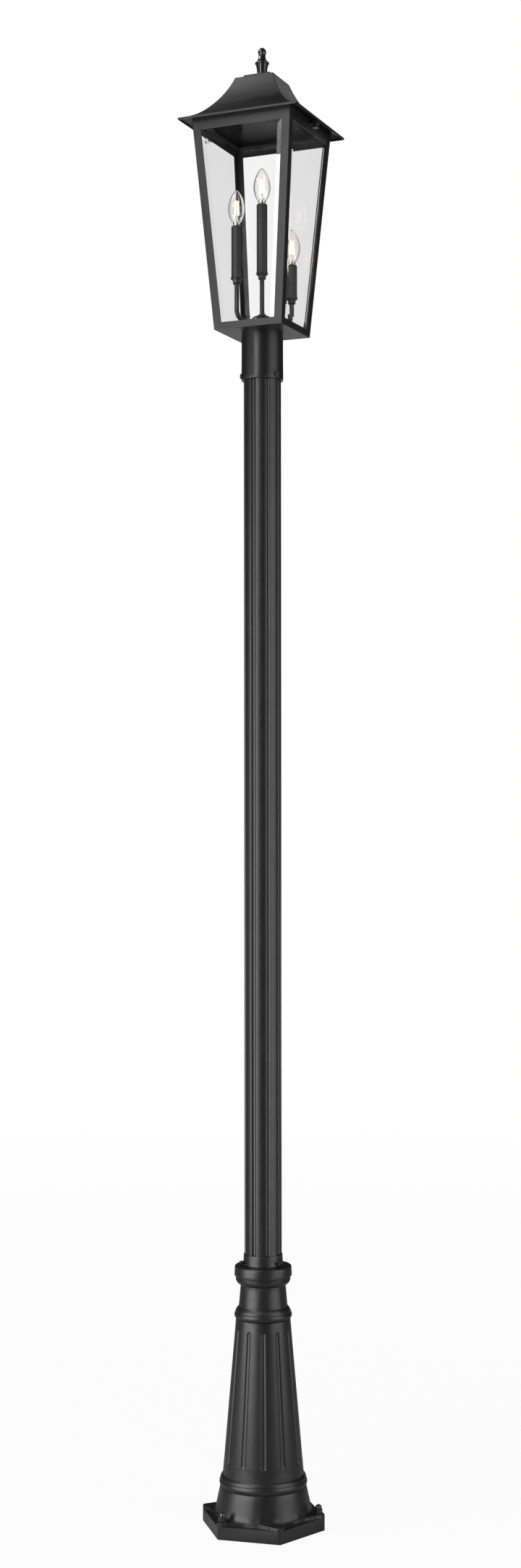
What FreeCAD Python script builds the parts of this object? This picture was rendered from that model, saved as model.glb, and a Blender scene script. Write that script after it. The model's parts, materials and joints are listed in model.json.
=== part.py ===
"""Garden lamp post: cast hexagon base, fluted tube and a four-sided lantern with three candle lamps.

All sizes are millimetres. The origin is the centre of the base's underside, on the ground.
+Z goes up the post, and X and Y are square to the lantern's four sides.
"""
import FreeCAD, Part

import math
import os

Vector = FreeCAD.Vector
UP = Vector(0, 0, 1)

# ---------------------------------------------------------------- clearances
SLIP_GAP = 0.3          # between round faces that sit in each other without a fit
THREAD_GAP = 0.06       # between a screw's thread and its tapped hole
REST_GAP = 0.1          # under a piece that lifts off or turns on a flat face

# ---------------------------------------------------------------- base casting
BASE_TURN = 8.6         # angle of the hexagon's first corner
PLATE_CORNER_R = 129.5  # hexagon, axis to corner
PLATE_CORNER_ROUND = 5.0
PLATE_SIDE_H = 26.0     # height of the six side faces
PLATE_H = 32.4          # height of the raised top at the corners
PLATE_BOW = 13.0        # how far each side of the raised top bows inwards
PLATE_BOW_STOP = 8.0    # flat left between the bow's end and the corner
PLATE_TOP_ROUND = 1.2
PLATE_WALL = 8.0        # rim wall round the hollow underside
PLATE_ROOF = 7.0        # metal over the hollow underside
BOSS_R = 12.0           # boss round each anchor hole
FLARE_H = 51.1
FLARE_FOOT_R = 98.7
FLARE_TOP_R = 88.0
FOOT_RING_H = 2.4
FOOT_RING_OUT = 2.2
LOWER_BEAD_H = 25.0     # whole moulding: bead, groove and the small roll above it
LOWER_BEAD_R = 89.8
LOWER_BEAD_THICK = 14.0
BEAD_UNDERCUT = 0.8
BEAD_SHOULDER = 1.8     # how far a bead has drawn in where its groove begins
BEAD_GROOVE = 0.6       # depth of the fine grooves
BEAD_BULGE = 0.8        # how far the small roll swells out of a straight slope
BEAD_STEP = 1.0         # fine step where the small roll ends
SHAFT_FOOT_R = 82.7
SHAFT_TOP_R = 55.7
SHAFT_H = 315.0
UPPER_BEAD_H = 26.0
UPPER_BEAD_R = 58.9
UPPER_BEAD_THICK = 13.0
NECK_FOOT_R = 49.7
NECK_TOP_R = 46.0
NECK_H = 43.5
CROWN_H = 15.0
CROWN_R = 55.9
CROWN_ROLL_H = 10.5
BASE_WALL = 6.0
SOCKET_DEPTH = 116.0    # how far the post goes down into the base
SOCKET_SHELF_H = 12.0
CABLE_HOLE_R = 30.0
SHAFT_FLUTES = 12
SHAFT_FLUTE_OFFSET = 15.0   # angle from a hexagon corner to the nearest flute
SHAFT_FLUTE_DEPTH = 1.9
SHAFT_FLUTE_FOOT_W = 11.8
SHAFT_FLUTE_TOP_W = 9.2
SHAFT_FLUTE_FOOT_MARGIN = 25.0
SHAFT_FLUTE_TOP_MARGIN = 17.5

# ---------------------------------------------------------------- anchor fixings
ANCHOR_COUNT = 3
ANCHOR_CIRCLE_R = 116.0
ANCHOR_HOLE_R = 5.5
ANCHOR_TURN = 0.0       # angle from the hexagon's first corner
WASHER_R = 9.8
WASHER_HOLE_R = 5.0
WASHER_T = 2.0
NUT_FLATS = 14.3
NUT_HEX_H = 8.0
NUT_DOME_R = 6.7
NUT_H = 17.5
NUT_BORE_R = 4.4
NUT_BORE_H = 12.0

# ---------------------------------------------------------------- base collar
COLLAR_R = 58.7
COLLAR_TOP_R = 57.9
COLLAR_BAND_H = 23.8
COLLAR_GROOVE_H = 4.0
COLLAR_ROUND = 1.6
COLLAR_DISH_H = 2.4     # rise of the collar's top face from its edge to the sleeve
COLLAR_SLEEVE_FOOT_R = 40.4
COLLAR_SLEEVE_TOP_R = 39.7
COLLAR_SLEEVE_H = 21.3
COLLAR_SKIRT_T = 5.0
COLLAR_TOP_T = 6.0

# ---------------------------------------------------------------- fluted post
POST_R = 38.1
POST_BORE_R = 33.4
POST_LENGTH = 2037.9
POST_FLUTES = 8
POST_FLUTE_TURN = 38.7
POST_FLUTE_W = 10.6
POST_FLUTE_FLOOR_W = 7.0
POST_FLUTE_DEPTH = 2.8
POST_FLUTE_ROUND = 0.8

# ---------------------------------------------------------------- set screws
SET_SCREWS = 3
COLLAR_SCREW_TURN = 99.7
FITTER_SCREW_TURN = 95.7
SET_SCREW_R = 3.0
COLLAR_HEAD_R = 3.6
COLLAR_HEAD_H = 9.5
COLLAR_SCREW_UP = 5.0   # screw axis above the collar's top face
FITTER_HEAD_R = 5.7
FITTER_HEAD_H = 2.9
FITTER_SCREW_UP = 8.0   # screw axis above the fitter's lower edge
HEAD_ROUND = 1.2
KEY_SOCKET_R = 2.1
KEY_SOCKET_DEPTH = 2.0

# ---------------------------------------------------------------- post fitter
FITTER_R = 42.4
FITTER_FOOT_R = 42.8
FITTER_H = 96.9
FITTER_TOP_T = 5.0
FITTER_ROUND = 1.0

# ---------------------------------------------------------------- lantern frame
BODY_H = 415.6
BODY_FOOT_HALF = 74.4
ANGLE_W = 17.0
ANGLE_T = 2.0
ANGLE_ROUND = 0.8
FLANGE_W = 12.0
FLOOR_T = 2.0
EAR_W = 18.0
EAR_GAP = 1.7           # from an ear's end to the inside of the eave

# ---------------------------------------------------------------- glazing
PANE_T = 4.0
PANE_EDGE_T = 2.0
PANE_BEVEL = 20.5
PANE_SIDE_INSET = 6.0   # from the lantern's corner line to the pane's edge
PANE_BACK_GAP = 1.5     # from the frame's back to the pane's edge, which lets the bevel rise
CLIP_W = 12.0
CLIP_T = 1.2
CLIP_H = 9.0
CLIP_FOOT = 6.0
CLIP_PLACE = 0.5        # share of the half side from the middle to each clip

# ---------------------------------------------------------------- roof
EAVE_HALF = 129.3
EAVE_OUT = 22.0         # how far the eave stands out over the body's sides
EAVE_DROP = 4.2         # the eave's vertical lip
EAVE_UP = 0.8           # lip's lower edge above the frame
EAVE_SLOPE = 14.0
KNEE_SLOPE = 45.5
ROOF_LOWER_R = 90.0
ROOF_H = 100.5
ROOF_TOP_HALF = 42.0
ROOF_T = 1.6
RING_T = 2.0
RING_W = 15.0
RING_TAB_W = 17.0
TAB_NUT_R = 4.5
TAB_NUT_H = 3.0
CAP_HALF = 29.0
CAP_H = 7.0
CAP_ROUND = 1.5

# ---------------------------------------------------------------- finial
FINIAL_FOOT_R = 16.0
FINIAL_FOOT_H = 3.0
FINIAL_STEM_R = 10.4
FINIAL_NECK_R = 12.6
FINIAL_FLANGE_R = 14.7
FINIAL_FLANGE_T = 3.4
FINIAL_WAIST_R = 6.9
FINIAL_RING_R = 7.6
FINIAL_BALL_R = 8.6
FINIAL_STEM_H = 24.4
FINIAL_WAIST_H = 14.9
FINIAL_RING_T = 1.6
FINIAL_STUD_R = 3.0
FINIAL_STUD_IN = 22.0
FINIAL_NUT_R = 6.0
FINIAL_NUT_H = 5.0
FINIAL_STUD_END = 3.0

# ---------------------------------------------------------------- roof thumb screws
THUMB_IN = 8.0          # from an ear's end to the screw's axis
THUMB_FLANGE_R = 7.5
THUMB_FLANGE_T = 2.5
THUMB_STEM_R = 4.9
THUMB_STEM_H = 5.9
THUMB_SHANK_R = 2.5
THUMB_FILLET = 0.8

# ---------------------------------------------------------------- lamp cluster
HUB_R = 28.0
HUB_SIDE_H = 15.0
HUB_H = 37.0
HUB_TOP_R = 8.0
HUB_CROWN_R = 24.6
HUB_CROWN_DROP = 9.5
HUB_WALL = 1.6
TUBE_R = 4.7
TUBE_BORE_R = 3.4
ROD_NUT_R = 7.6
ROD_NUT_H = 4.5
LOCKNUT_R = 9.0
LOCKNUT_H = 4.0
NIPPLE_TAIL = 9.0
ARM_REACH = 62.0
ARM_RISE = 21.0         # height of the arm's level run above the lantern floor
ARM_BEND_R = 17.0
ARM_IN_HUB = 3.0
CUP_H = 15.0
CUP_FOOT_R = 5.6
CUP_RING_R = 8.3
CUP_WAIST_R = 7.2
CUP_RIM_R = 12.4
CUP_SEAT = 3.0          # how deep the sleeve stands in its cup
SLEEVE_R = 11.0
SLEEVE_WALL = 1.2
SLEEVE_TOP_T = 1.4
SLEEVE_HOLE_R = 7.4
SLEEVE_ROUND = 1.0
SOCKET_BODY_H = 34.0
# name: (plan angle, plan reach, height of the cup's rim, height of the sleeve's top), above the body's foot
LAMPS = {
    "centre": (0.0, 0.0, 124.5, 263.7),
    "left": (238.0, ARM_REACH, 106.1, 209.6),
    "right": (44.0, ARM_REACH, 79.1, 144.5),
}

# ---------------------------------------------------------------- candle lamps
LAMP_THREAD_R = 5.95
LAMP_THREAD_H = 14.0
LAMP_CONTACT_R = 2.4
LAMP_CONTACT_H = 1.4
LAMP_SKIRT_R = 8.2
LAMP_SKIRT_H = 7.2
GLASS_R = 17.25
GLASS_H = 66.9
GLASS_WIDE_H = 26.0
GLASS_TIP_R = 2.4
GLASS_WALL = 0.9
GLASS_LOW_STEPS = 3      # straight steps that follow the curve, below and above the widest point
GLASS_HIGH_STEPS = 5
GLASS_FOOT_R = 7.6
MOUNT_H = 15.0
MOUNT_FOOT_R = 5.0
MOUNT_TOP_R = 2.0
FILAMENTS = 4
FILAMENT_R = 0.9
FILAMENT_H = 30.0
FILAMENT_CIRCLE_R = 4.6
FILAMENT_WIRE_R = 0.45

# ---------------------------------------------------------------- heights and places that follow
FLARE_TOP_Z = PLATE_H + FLARE_H
SHAFT_FOOT_Z = FLARE_TOP_Z + LOWER_BEAD_H
SHAFT_TOP_Z = SHAFT_FOOT_Z + SHAFT_H
NECK_FOOT_Z = SHAFT_TOP_Z + UPPER_BEAD_H
NECK_TOP_Z = NECK_FOOT_Z + NECK_H
BASE_TOP_Z = NECK_TOP_Z + CROWN_H
COLLAR_EDGE_Z = BASE_TOP_Z + COLLAR_BAND_H
COLLAR_FACE_Z = COLLAR_EDGE_Z + COLLAR_DISH_H
COLLAR_TOP_Z = COLLAR_FACE_Z + COLLAR_SLEEVE_H
POST_FOOT_Z = BASE_TOP_Z - SOCKET_DEPTH
POST_TOP_Z = POST_FOOT_Z + POST_LENGTH
BODY_Z = POST_TOP_Z + FITTER_TOP_T
FITTER_Z = BODY_Z - FITTER_H
BODY_TOP_Z = BODY_Z + BODY_H
FLOOR_Z = BODY_Z + FLOOR_T          # the lantern floor's upper face
HUB_TOP_Z = FLOOR_Z + HUB_H
ROOF_TOP_Z = BODY_TOP_Z + ROOF_H
CAP_TOP_Z = ROOF_TOP_Z + CAP_H

BODY_TOP_HALF = EAVE_HALF - EAVE_OUT
EAR_END_X = EAVE_HALF - ROOF_T - EAR_GAP
THUMB_X = EAR_END_X - THUMB_IN
POST_SOCKET_R = POST_R + SLIP_GAP
ANCHOR_ANGLES = [BASE_TURN + ANCHOR_TURN + i * 360 / ANCHOR_COUNT for i in range(ANCHOR_COUNT)]
COLLAR_SCREW_ANGLES = [COLLAR_SCREW_TURN + i * 360 / SET_SCREWS for i in range(SET_SCREWS)]
FITTER_SCREW_ANGLES = [FITTER_SCREW_TURN + i * 360 / SET_SCREWS for i in range(SET_SCREWS)]
SIDES = {"front": 0, "right": 90, "back": 180, "left": 270}


# ---------------------------------------------------------------- drawing helpers
def at(radius, angle, z=0.0):
    """The point at a radius and an angle round the post's axis."""
    a = math.radians(angle)
    return Vector(radius * math.cos(a), radius * math.sin(a), z)


def turned(shape, angle):
    """A copy of the shape turned round the post's axis."""
    copy = shape.copy()
    copy.rotate(Vector(0, 0, 0), UP, angle)
    return copy


def moved(shape, place):
    """A copy of the shape moved by a vector."""
    copy = shape.copy()
    copy.translate(place)
    return copy


def outline(start, *steps):
    """A closed edge loop in the XZ plane.

    A step of two numbers is a straight line to that point, and a step of two points is an arc
    through the first of them to the second.
    """
    def point(p):
        return Vector(p[0], 0, p[1])

    edges = []
    here = start
    for step in steps + (start,):
        if isinstance(step[0], tuple):
            edges.append(Part.Arc(point(here), point(step[0]), point(step[1])).toShape())
            here = step[1]
        elif math.dist(here, step) > 1e-9:
            edges.append(Part.LineSegment(point(here), point(step)).toShape())
            here = step
    return Part.Wire(edges)


def spun(start, *steps):
    """The solid that an outline sweeps in one turn round the Z axis."""
    return Part.Face(outline(start, *steps)).revolve(Vector(0, 0, 0), UP, 360)


def cylinder(radius, z0, z1, place=Vector(0, 0, 0)):
    return Part.makeCylinder(radius, z1 - z0, Vector(place.x, place.y, z0))


def rod(start, end, radius):
    return Part.makeCylinder(radius, (end - start).Length, start, end - start)


def hexagon(flats, z0, z1):
    """A six-sided prism, by its size across flats."""
    corners = [at(flats / 2 / math.cos(math.radians(30)), 60 * i, z0) for i in range(7)]
    return Part.Face(Part.makePolygon(corners)).extrude(Vector(0, 0, z1 - z0))


def square_prism(half, z0, z1):
    return Part.makeBox(2 * half, 2 * half, z1 - z0, Vector(-half, -half, z0))


def body_half(z):
    """Half the lantern body's width at a height: its four sides lean outwards."""
    return BODY_FOOT_HALF + (BODY_TOP_HALF - BODY_FOOT_HALF) * (z - BODY_Z) / BODY_H


def body_square(z, inset):
    h = body_half(z) - inset
    corners = [Vector(h, h, z), Vector(-h, h, z), Vector(-h, -h, z), Vector(h, -h, z), Vector(h, h, z)]
    return Part.makePolygon(corners)


def body_block(z0, z1, inset):
    """The block between two heights that lies an inset inside the body's sides."""
    return Part.makeLoft([body_square(z0, inset), body_square(z1, inset)], True, True)


def fused(shapes):
    return shapes[0].multiFuse(shapes[1:]).removeSplitter()


# ---------------------------------------------------------------- base
def hexagon_plate():
    """The six-sided plate: low sides, and a raised top whose six edges bow inwards."""
    corners = [at(PLATE_CORNER_R, BASE_TURN + 60 * i) for i in range(7)]
    block = Part.Face(Part.makePolygon(corners)).extrude(Vector(0, 0, PLATE_H))
    upright = [e for e in block.Edges if abs(e.tangentAt(e.FirstParameter).z) > 0.9]
    block = block.makeFillet(PLATE_CORNER_ROUND, upright)

    half_side = PLATE_CORNER_R / 2
    reach = PLATE_CORNER_R * math.cos(math.radians(30))
    bow_half = half_side - PLATE_BOW_STOP
    start, end = Vector(reach, -bow_half, PLATE_SIDE_H), Vector(reach, bow_half, PLATE_SIDE_H)
    outwards = Vector(PLATE_BOW, 0, 0)
    bow = Part.Wire([
        Part.Arc(start, Vector(reach - PLATE_BOW, 0, PLATE_SIDE_H), end).toShape(),
        Part.makePolygon([end, end + outwards, start + outwards, start]),
    ])
    scallop = Part.Face(bow).extrude(Vector(0, 0, PLATE_H))
    block = block.cut([turned(scallop, BASE_TURN + 30 + 60 * i) for i in range(6)])
    rim = [e for e in block.Edges if min(v.Z for v in e.Vertexes) > PLATE_H - 0.01]
    return block.makeFillet(PLATE_TOP_ROUND, rim)


def plate_hollow():
    """The space under the plate, which leaves a rim and a boss round each anchor hole."""
    reach = PLATE_CORNER_R - PLATE_WALL / math.cos(math.radians(30))
    top = PLATE_SIDE_H - PLATE_ROOF
    corners = [at(reach, BASE_TURN + 60 * i) for i in range(7)]
    space = Part.Face(Part.makePolygon(corners)).extrude(Vector(0, 0, top))
    return space.cut([cylinder(BOSS_R, 0, top, at(ANCHOR_CIRCLE_R, a)) for a in ANCHOR_ANGLES])


def moulding(foot_r, foot_z, bead_r, bead_h, top_r, top_z):
    """A cast moulding's steps: undercut, bead, fine groove, and a small roll that leans in to the top."""
    bead_z = foot_z + BEAD_UNDERCUT
    groove_z = bead_z + bead_h
    shoulder_r = bead_r - BEAD_SHOULDER
    roll_z = groove_z + 2 * BEAD_GROOVE
    end_r, end_z = top_r + BEAD_STEP, top_z - BEAD_STEP
    lean = math.atan2(shoulder_r - end_r, end_z - roll_z)
    roll_mid = ((shoulder_r + end_r) / 2 + BEAD_BULGE * math.cos(lean),
                (roll_z + end_z) / 2 + BEAD_BULGE * math.sin(lean))
    return [
        (foot_r - BEAD_UNDERCUT, bead_z),
        ((bead_r, bead_z + bead_h / 2), (shoulder_r, groove_z)),
        (shoulder_r - BEAD_GROOVE, groove_z + BEAD_GROOVE),
        (shoulder_r, roll_z),
        (roll_mid, (end_r, end_z)),
        (top_r, end_z + BEAD_STEP / 2),
        (top_r, top_z),
    ]


def base_body():
    """The turned outside of the base, from the foot ring to the crown under the collar."""
    crown_roll = NECK_TOP_Z + CROWN_ROLL_H
    roll = 0.75 * (CROWN_R - NECK_TOP_R)
    return spun(
        (0, PLATE_SIDE_H - PLATE_ROOF),
        (FLARE_FOOT_R + FOOT_RING_OUT, PLATE_SIDE_H - PLATE_ROOF),
        (FLARE_FOOT_R + FOOT_RING_OUT, PLATE_H + FOOT_RING_H - 1),
        (FLARE_FOOT_R + FOOT_RING_OUT - 1, PLATE_H + FOOT_RING_H),
        (FLARE_FOOT_R, PLATE_H + FOOT_RING_H),
        (FLARE_TOP_R, FLARE_TOP_Z),
        *moulding(FLARE_TOP_R, FLARE_TOP_Z, LOWER_BEAD_R, LOWER_BEAD_THICK, SHAFT_FOOT_R, SHAFT_FOOT_Z),
        (SHAFT_TOP_R, SHAFT_TOP_Z),
        *moulding(SHAFT_TOP_R, SHAFT_TOP_Z, UPPER_BEAD_R, UPPER_BEAD_THICK, NECK_FOOT_R, NECK_FOOT_Z),
        (NECK_TOP_R, NECK_TOP_Z),
        ((NECK_TOP_R + roll, NECK_TOP_Z + CROWN_ROLL_H / 2), (CROWN_R, crown_roll)),
        (CROWN_R - BEAD_GROOVE, crown_roll + BEAD_GROOVE),
        (CROWN_R, crown_roll + 2 * BEAD_GROOVE),
        (CROWN_R, BASE_TOP_Z - 1),
        (CROWN_R - 1, BASE_TOP_Z),
        (0, BASE_TOP_Z),
    )


def base_bore():
    """The hollow up the middle: a cone that follows the outside, the cable hole and the post's socket."""
    shelf_z = POST_FOOT_Z - SOCKET_SHELF_H
    slope = (SHAFT_FOOT_R - SHAFT_TOP_R) / SHAFT_H
    cone_top_r = SHAFT_FOOT_R - slope * (shelf_z - SHAFT_FOOT_Z) - BASE_WALL
    return spun(
        (0, -1),
        (FLARE_FOOT_R - BASE_WALL, -1),
        (FLARE_FOOT_R - BASE_WALL, PLATE_H),
        (SHAFT_FOOT_R - BASE_WALL, SHAFT_FOOT_Z),
        (cone_top_r, shelf_z),
        (CABLE_HOLE_R, shelf_z),
        (CABLE_HOLE_R, POST_FOOT_Z),
        (POST_SOCKET_R, POST_FOOT_Z),
        (POST_SOCKET_R, BASE_TOP_Z + 1),
        (0, BASE_TOP_Z + 1),
    )


def capsule(foot, top, foot_r, top_r):
    """A tapered rod with ball ends, from one ball's middle to the other's."""
    length = (top - foot).Length
    taper = math.asin((foot_r - top_r) / length)

    def on_foot(a):
        return (foot_r * math.cos(a), foot_r * math.sin(a))

    def on_top(a):
        return (top_r * math.cos(a), length + top_r * math.sin(a))

    quarter = math.pi / 2
    body = spun((0, -foot_r), (on_foot((taper - quarter) / 2), on_foot(taper)), on_top(taper),
                (on_top((taper + quarter) / 2), on_top(quarter)))
    axis = top - foot
    body.rotate(Vector(0, 0, 0), Vector(0, 1, 0), math.degrees(math.atan2(axis.x, axis.z)))
    body.translate(foot)
    return body


def shaft_flute():
    """The tool that cuts one round-bottomed channel with round ends along the shaft's slope, at angle 0."""
    slope = math.atan2(SHAFT_FOOT_R - SHAFT_TOP_R, SHAFT_H)

    def ball(width, z):
        radius = (width ** 2 / 4 + SHAFT_FLUTE_DEPTH ** 2) / (2 * SHAFT_FLUTE_DEPTH)
        surface = SHAFT_FOOT_R - (z - SHAFT_FOOT_Z) * math.tan(slope)
        out = radius - SHAFT_FLUTE_DEPTH
        return Vector(surface + out * math.cos(slope), 0, z + out * math.sin(slope)), radius

    foot, foot_r = ball(SHAFT_FLUTE_FOOT_W, SHAFT_FOOT_Z + SHAFT_FLUTE_FOOT_MARGIN + SHAFT_FLUTE_FOOT_W / 2)
    top, top_r = ball(SHAFT_FLUTE_TOP_W, SHAFT_TOP_Z - SHAFT_FLUTE_TOP_MARGIN - SHAFT_FLUTE_TOP_W / 2)
    return capsule(foot, top, foot_r, top_r)


def base_casting():
    """Plate, flare, fluted shaft and neck in one casting, open underneath for the cable."""
    shaft = base_body()
    step = 360 / SHAFT_FLUTES
    channel = shaft_flute()
    channels = [turned(channel, BASE_TURN + SHAFT_FLUTE_OFFSET + step * i) for i in range(SHAFT_FLUTES)]
    shaft = shaft.cut(channels)
    plate = hexagon_plate().cut(plate_hollow())
    holes = [cylinder(ANCHOR_HOLE_R, -1, PLATE_H + 1, at(ANCHOR_CIRCLE_R, a)) for a in ANCHOR_ANGLES]
    return plate.fuse(shaft).cut([base_bore()] + holes)


def anchor_washer(angle):
    ring = cylinder(WASHER_R, PLATE_H, PLATE_H + WASHER_T).cut(
        cylinder(WASHER_HOLE_R, PLATE_H - 1, PLATE_H + WASHER_T + 1))
    return moved(ring, at(ANCHOR_CIRCLE_R, angle))


def anchor_nut(angle):
    """A domed nut with a blind thread for a stud that comes up through the plate."""
    z0 = PLATE_H + WASHER_T
    hexed = hexagon(NUT_FLATS, z0, z0 + NUT_HEX_H)
    corner_r = NUT_FLATS / 2 / math.cos(math.radians(30))
    chamfer = spun((0, z0), (corner_r - 0.8, z0), (corner_r, z0 + 0.8), (corner_r, z0 + NUT_HEX_H - 1),
                   (corner_r - 1.4, z0 + NUT_HEX_H), (0, z0 + NUT_HEX_H))
    dome_z = z0 + NUT_H - NUT_DOME_R
    arc_r = NUT_DOME_R * math.cos(math.radians(45))
    dome = spun((0, z0), (NUT_DOME_R, z0), (NUT_DOME_R, dome_z),
                ((arc_r, dome_z + arc_r), (0, z0 + NUT_H)))
    nut = hexed.common(chamfer).fuse(dome).cut(cylinder(NUT_BORE_R, z0 - 1, z0 + NUT_BORE_H))
    return moved(nut, at(ANCHOR_CIRCLE_R, angle))


def set_screw(angle, z, head_r, head_h, seat_r, tip_r):
    """A pan-head screw along a radius, with a six-sided key socket in its head."""
    shank = cylinder(SET_SCREW_R, tip_r, seat_r)
    head = spun((0, seat_r), (head_r, seat_r), (head_r, seat_r + head_h - HEAD_ROUND),
                (head_r - HEAD_ROUND, seat_r + head_h), (0, seat_r + head_h))
    key_z = seat_r + head_h - KEY_SOCKET_DEPTH
    screw = shank.fuse(head).cut(hexagon(2 * KEY_SOCKET_R, key_z, seat_r + head_h + 1)).removeSplitter()
    screw.rotate(Vector(0, 0, 0), Vector(0, 1, 0), 90)
    screw.translate(Vector(0, 0, z))
    return turned(screw, angle)


def screw_hole(angle, z, outer_r):
    return turned(rod(Vector(0, 0, z), Vector(outer_r, 0, z), SET_SCREW_R + THREAD_GAP), angle)


def base_collar():
    """The loose collar on the base: a skirt, a dished top and the sleeve that clamps the post."""
    z0 = BASE_TOP_Z
    skirt_r = COLLAR_R - COLLAR_SKIRT_T
    under = COLLAR_EDGE_Z - COLLAR_TOP_T
    body = spun(
        (POST_SOCKET_R, z0),
        (CROWN_R, z0),
        (CROWN_R, z0 + COLLAR_GROOVE_H / 2),
        (COLLAR_R, z0 + COLLAR_GROOVE_H),
        (COLLAR_TOP_R, COLLAR_EDGE_Z - COLLAR_ROUND),
        (COLLAR_TOP_R - COLLAR_ROUND, COLLAR_EDGE_Z),
        (COLLAR_SLEEVE_FOOT_R, COLLAR_FACE_Z),
        (COLLAR_SLEEVE_TOP_R, COLLAR_TOP_Z - 0.5),
        (COLLAR_SLEEVE_TOP_R - 0.5, COLLAR_TOP_Z),
        (POST_SOCKET_R, COLLAR_TOP_Z),
    )
    relief = spun((COLLAR_SLEEVE_FOOT_R + COLLAR_SKIRT_T, z0 - 1), (skirt_r, z0 - 1), (skirt_r, under),
                  (COLLAR_SLEEVE_FOOT_R + COLLAR_SKIRT_T, under))
    z = COLLAR_FACE_Z + COLLAR_SCREW_UP
    return body.cut([relief] + [screw_hole(a, z, COLLAR_R) for a in COLLAR_SCREW_ANGLES])


def collar_set_screw(angle):
    return set_screw(angle, COLLAR_FACE_Z + COLLAR_SCREW_UP, COLLAR_HEAD_R, COLLAR_HEAD_H,
                     COLLAR_SLEEVE_FOOT_R + SLIP_GAP, POST_R + REST_GAP)


# ---------------------------------------------------------------- post and fitter
def fluted_post():
    """An extruded tube with flat-floored grooves down its whole length."""
    floor_r = POST_R - POST_FLUTE_DEPTH
    half_w, half_floor = POST_FLUTE_W / 2, POST_FLUTE_FLOOR_W / 2
    out = 2 * POST_FLUTE_DEPTH
    spread = (half_w - half_floor) * out / POST_FLUTE_DEPTH
    groove = Part.Face(Part.makePolygon([
        Vector(floor_r, -half_floor, 0), Vector(floor_r + out, -half_floor - spread, 0),
        Vector(floor_r + out, half_floor + spread, 0), Vector(floor_r, half_floor, 0),
        Vector(floor_r, -half_floor, 0)]))
    section = Part.Face(Part.Wire(Part.makeCircle(POST_R)))
    step = 360 / POST_FLUTES
    section = section.cut([turned(groove, POST_FLUTE_TURN + step * i) for i in range(POST_FLUTES)])
    section = section.cut(Part.Face(Part.Wire(Part.makeCircle(POST_BORE_R))))
    tube = section.Faces[0].extrude(Vector(0, 0, POST_LENGTH))
    lips = [e for e in tube.Edges if e.Length > POST_LENGTH - 1
            and abs(math.hypot(e.Vertexes[0].X, e.Vertexes[0].Y) - POST_R) < 0.01]
    return moved(tube.makeFillet(POST_FLUTE_ROUND, lips), Vector(0, 0, POST_FOOT_Z))


def post_fitter():
    """The cup under the lantern: it slips over the post, and its top plate rests on the post's end."""
    shell = spun(
        (FITTER_FOOT_R - FITTER_ROUND, FITTER_Z),
        (FITTER_FOOT_R, FITTER_Z + FITTER_ROUND),
        (FITTER_R, FITTER_Z + FITTER_H / 2),
        (FITTER_R, BODY_Z),
        (TUBE_R + SLIP_GAP, BODY_Z),
        (TUBE_R + SLIP_GAP, POST_TOP_Z),
        (POST_SOCKET_R, POST_TOP_Z),
        (POST_SOCKET_R, FITTER_Z),
    )
    z = FITTER_Z + FITTER_SCREW_UP
    return shell.cut([screw_hole(a, z, FITTER_FOOT_R + 2) for a in FITTER_SCREW_ANGLES])


def fitter_set_screw(angle):
    return set_screw(angle, FITTER_Z + FITTER_SCREW_UP, FITTER_HEAD_R, FITTER_HEAD_H,
                     FITTER_FOOT_R + SLIP_GAP, POST_R + REST_GAP)


# ---------------------------------------------------------------- lantern frame
def bottom_plate():
    """The flat floor plate of the lantern, flush with the frame's lower edge."""
    plate = square_prism(body_half(BODY_Z) - ANGLE_T, BODY_Z, FLOOR_Z)
    return plate.cut(cylinder(TUBE_R + SLIP_GAP, BODY_Z - 1, FLOOR_Z + 1))


def corner_post(turn):
    """A leaning corner angle, with equal flanges on both sides of the corner."""
    def section(z):
        h = body_half(z)
        inner, end = h - ANGLE_T, h - ANGLE_W
        corners = [(h, h), (end, h), (end, inner), (inner, inner), (inner, end), (h, end), (h, h)]
        return Part.makePolygon([Vector(x, y, z) for x, y in corners])

    angle = Part.makeLoft([section(BODY_Z), section(BODY_TOP_Z)], True, True)
    outer = [e for e in angle.Edges if all(abs(v.X - body_half(v.Z)) < 0.01 and abs(v.Y - v.X) < 0.01
                                           for v in e.Vertexes)]
    return turned(angle.makeFillet(ANGLE_ROUND, outer), turn)


def frame_ring(z0, z1, flange_z):
    """Four side rails joined by a flat flange inside them, cut to fit between the corner posts."""
    rails = body_block(z0, z1, 0).cut(body_block(z0, z1, ANGLE_T))
    flange = body_block(flange_z, flange_z + ANGLE_T, ANGLE_T / 2)
    opening = square_prism(body_half(flange_z) - ANGLE_T - FLANGE_W, flange_z - 1, flange_z + ANGLE_T + 1)
    posts = Part.makeCompound([body_corner(z0, z1, turn) for turn in SIDES.values()])
    return rails.fuse(flange).cut(opening).cut(posts).removeSplitter()


def body_corner(z0, z1, turn):
    """The space that one corner post takes up between two heights."""
    h = body_half(z1) + ANGLE_T
    foot, top = body_half(z0), body_half(z1)
    corners = [Vector(foot - ANGLE_W, foot - ANGLE_W, z0), Vector(h, foot - ANGLE_W, z0),
               Vector(h, h, z0), Vector(foot - ANGLE_W, h, z0), Vector(foot - ANGLE_W, foot - ANGLE_W, z0)]
    lean = Vector(top - foot, top - foot, z1 - z0)
    block = Part.Face(Part.makePolygon(corners)).extrude(lean)
    inside = body_block(z0, z1, ANGLE_T)
    return turned(block.cut(inside), turn)


def bottom_frame():
    return frame_ring(BODY_Z, BODY_Z + ANGLE_W, FLOOR_Z)


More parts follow.
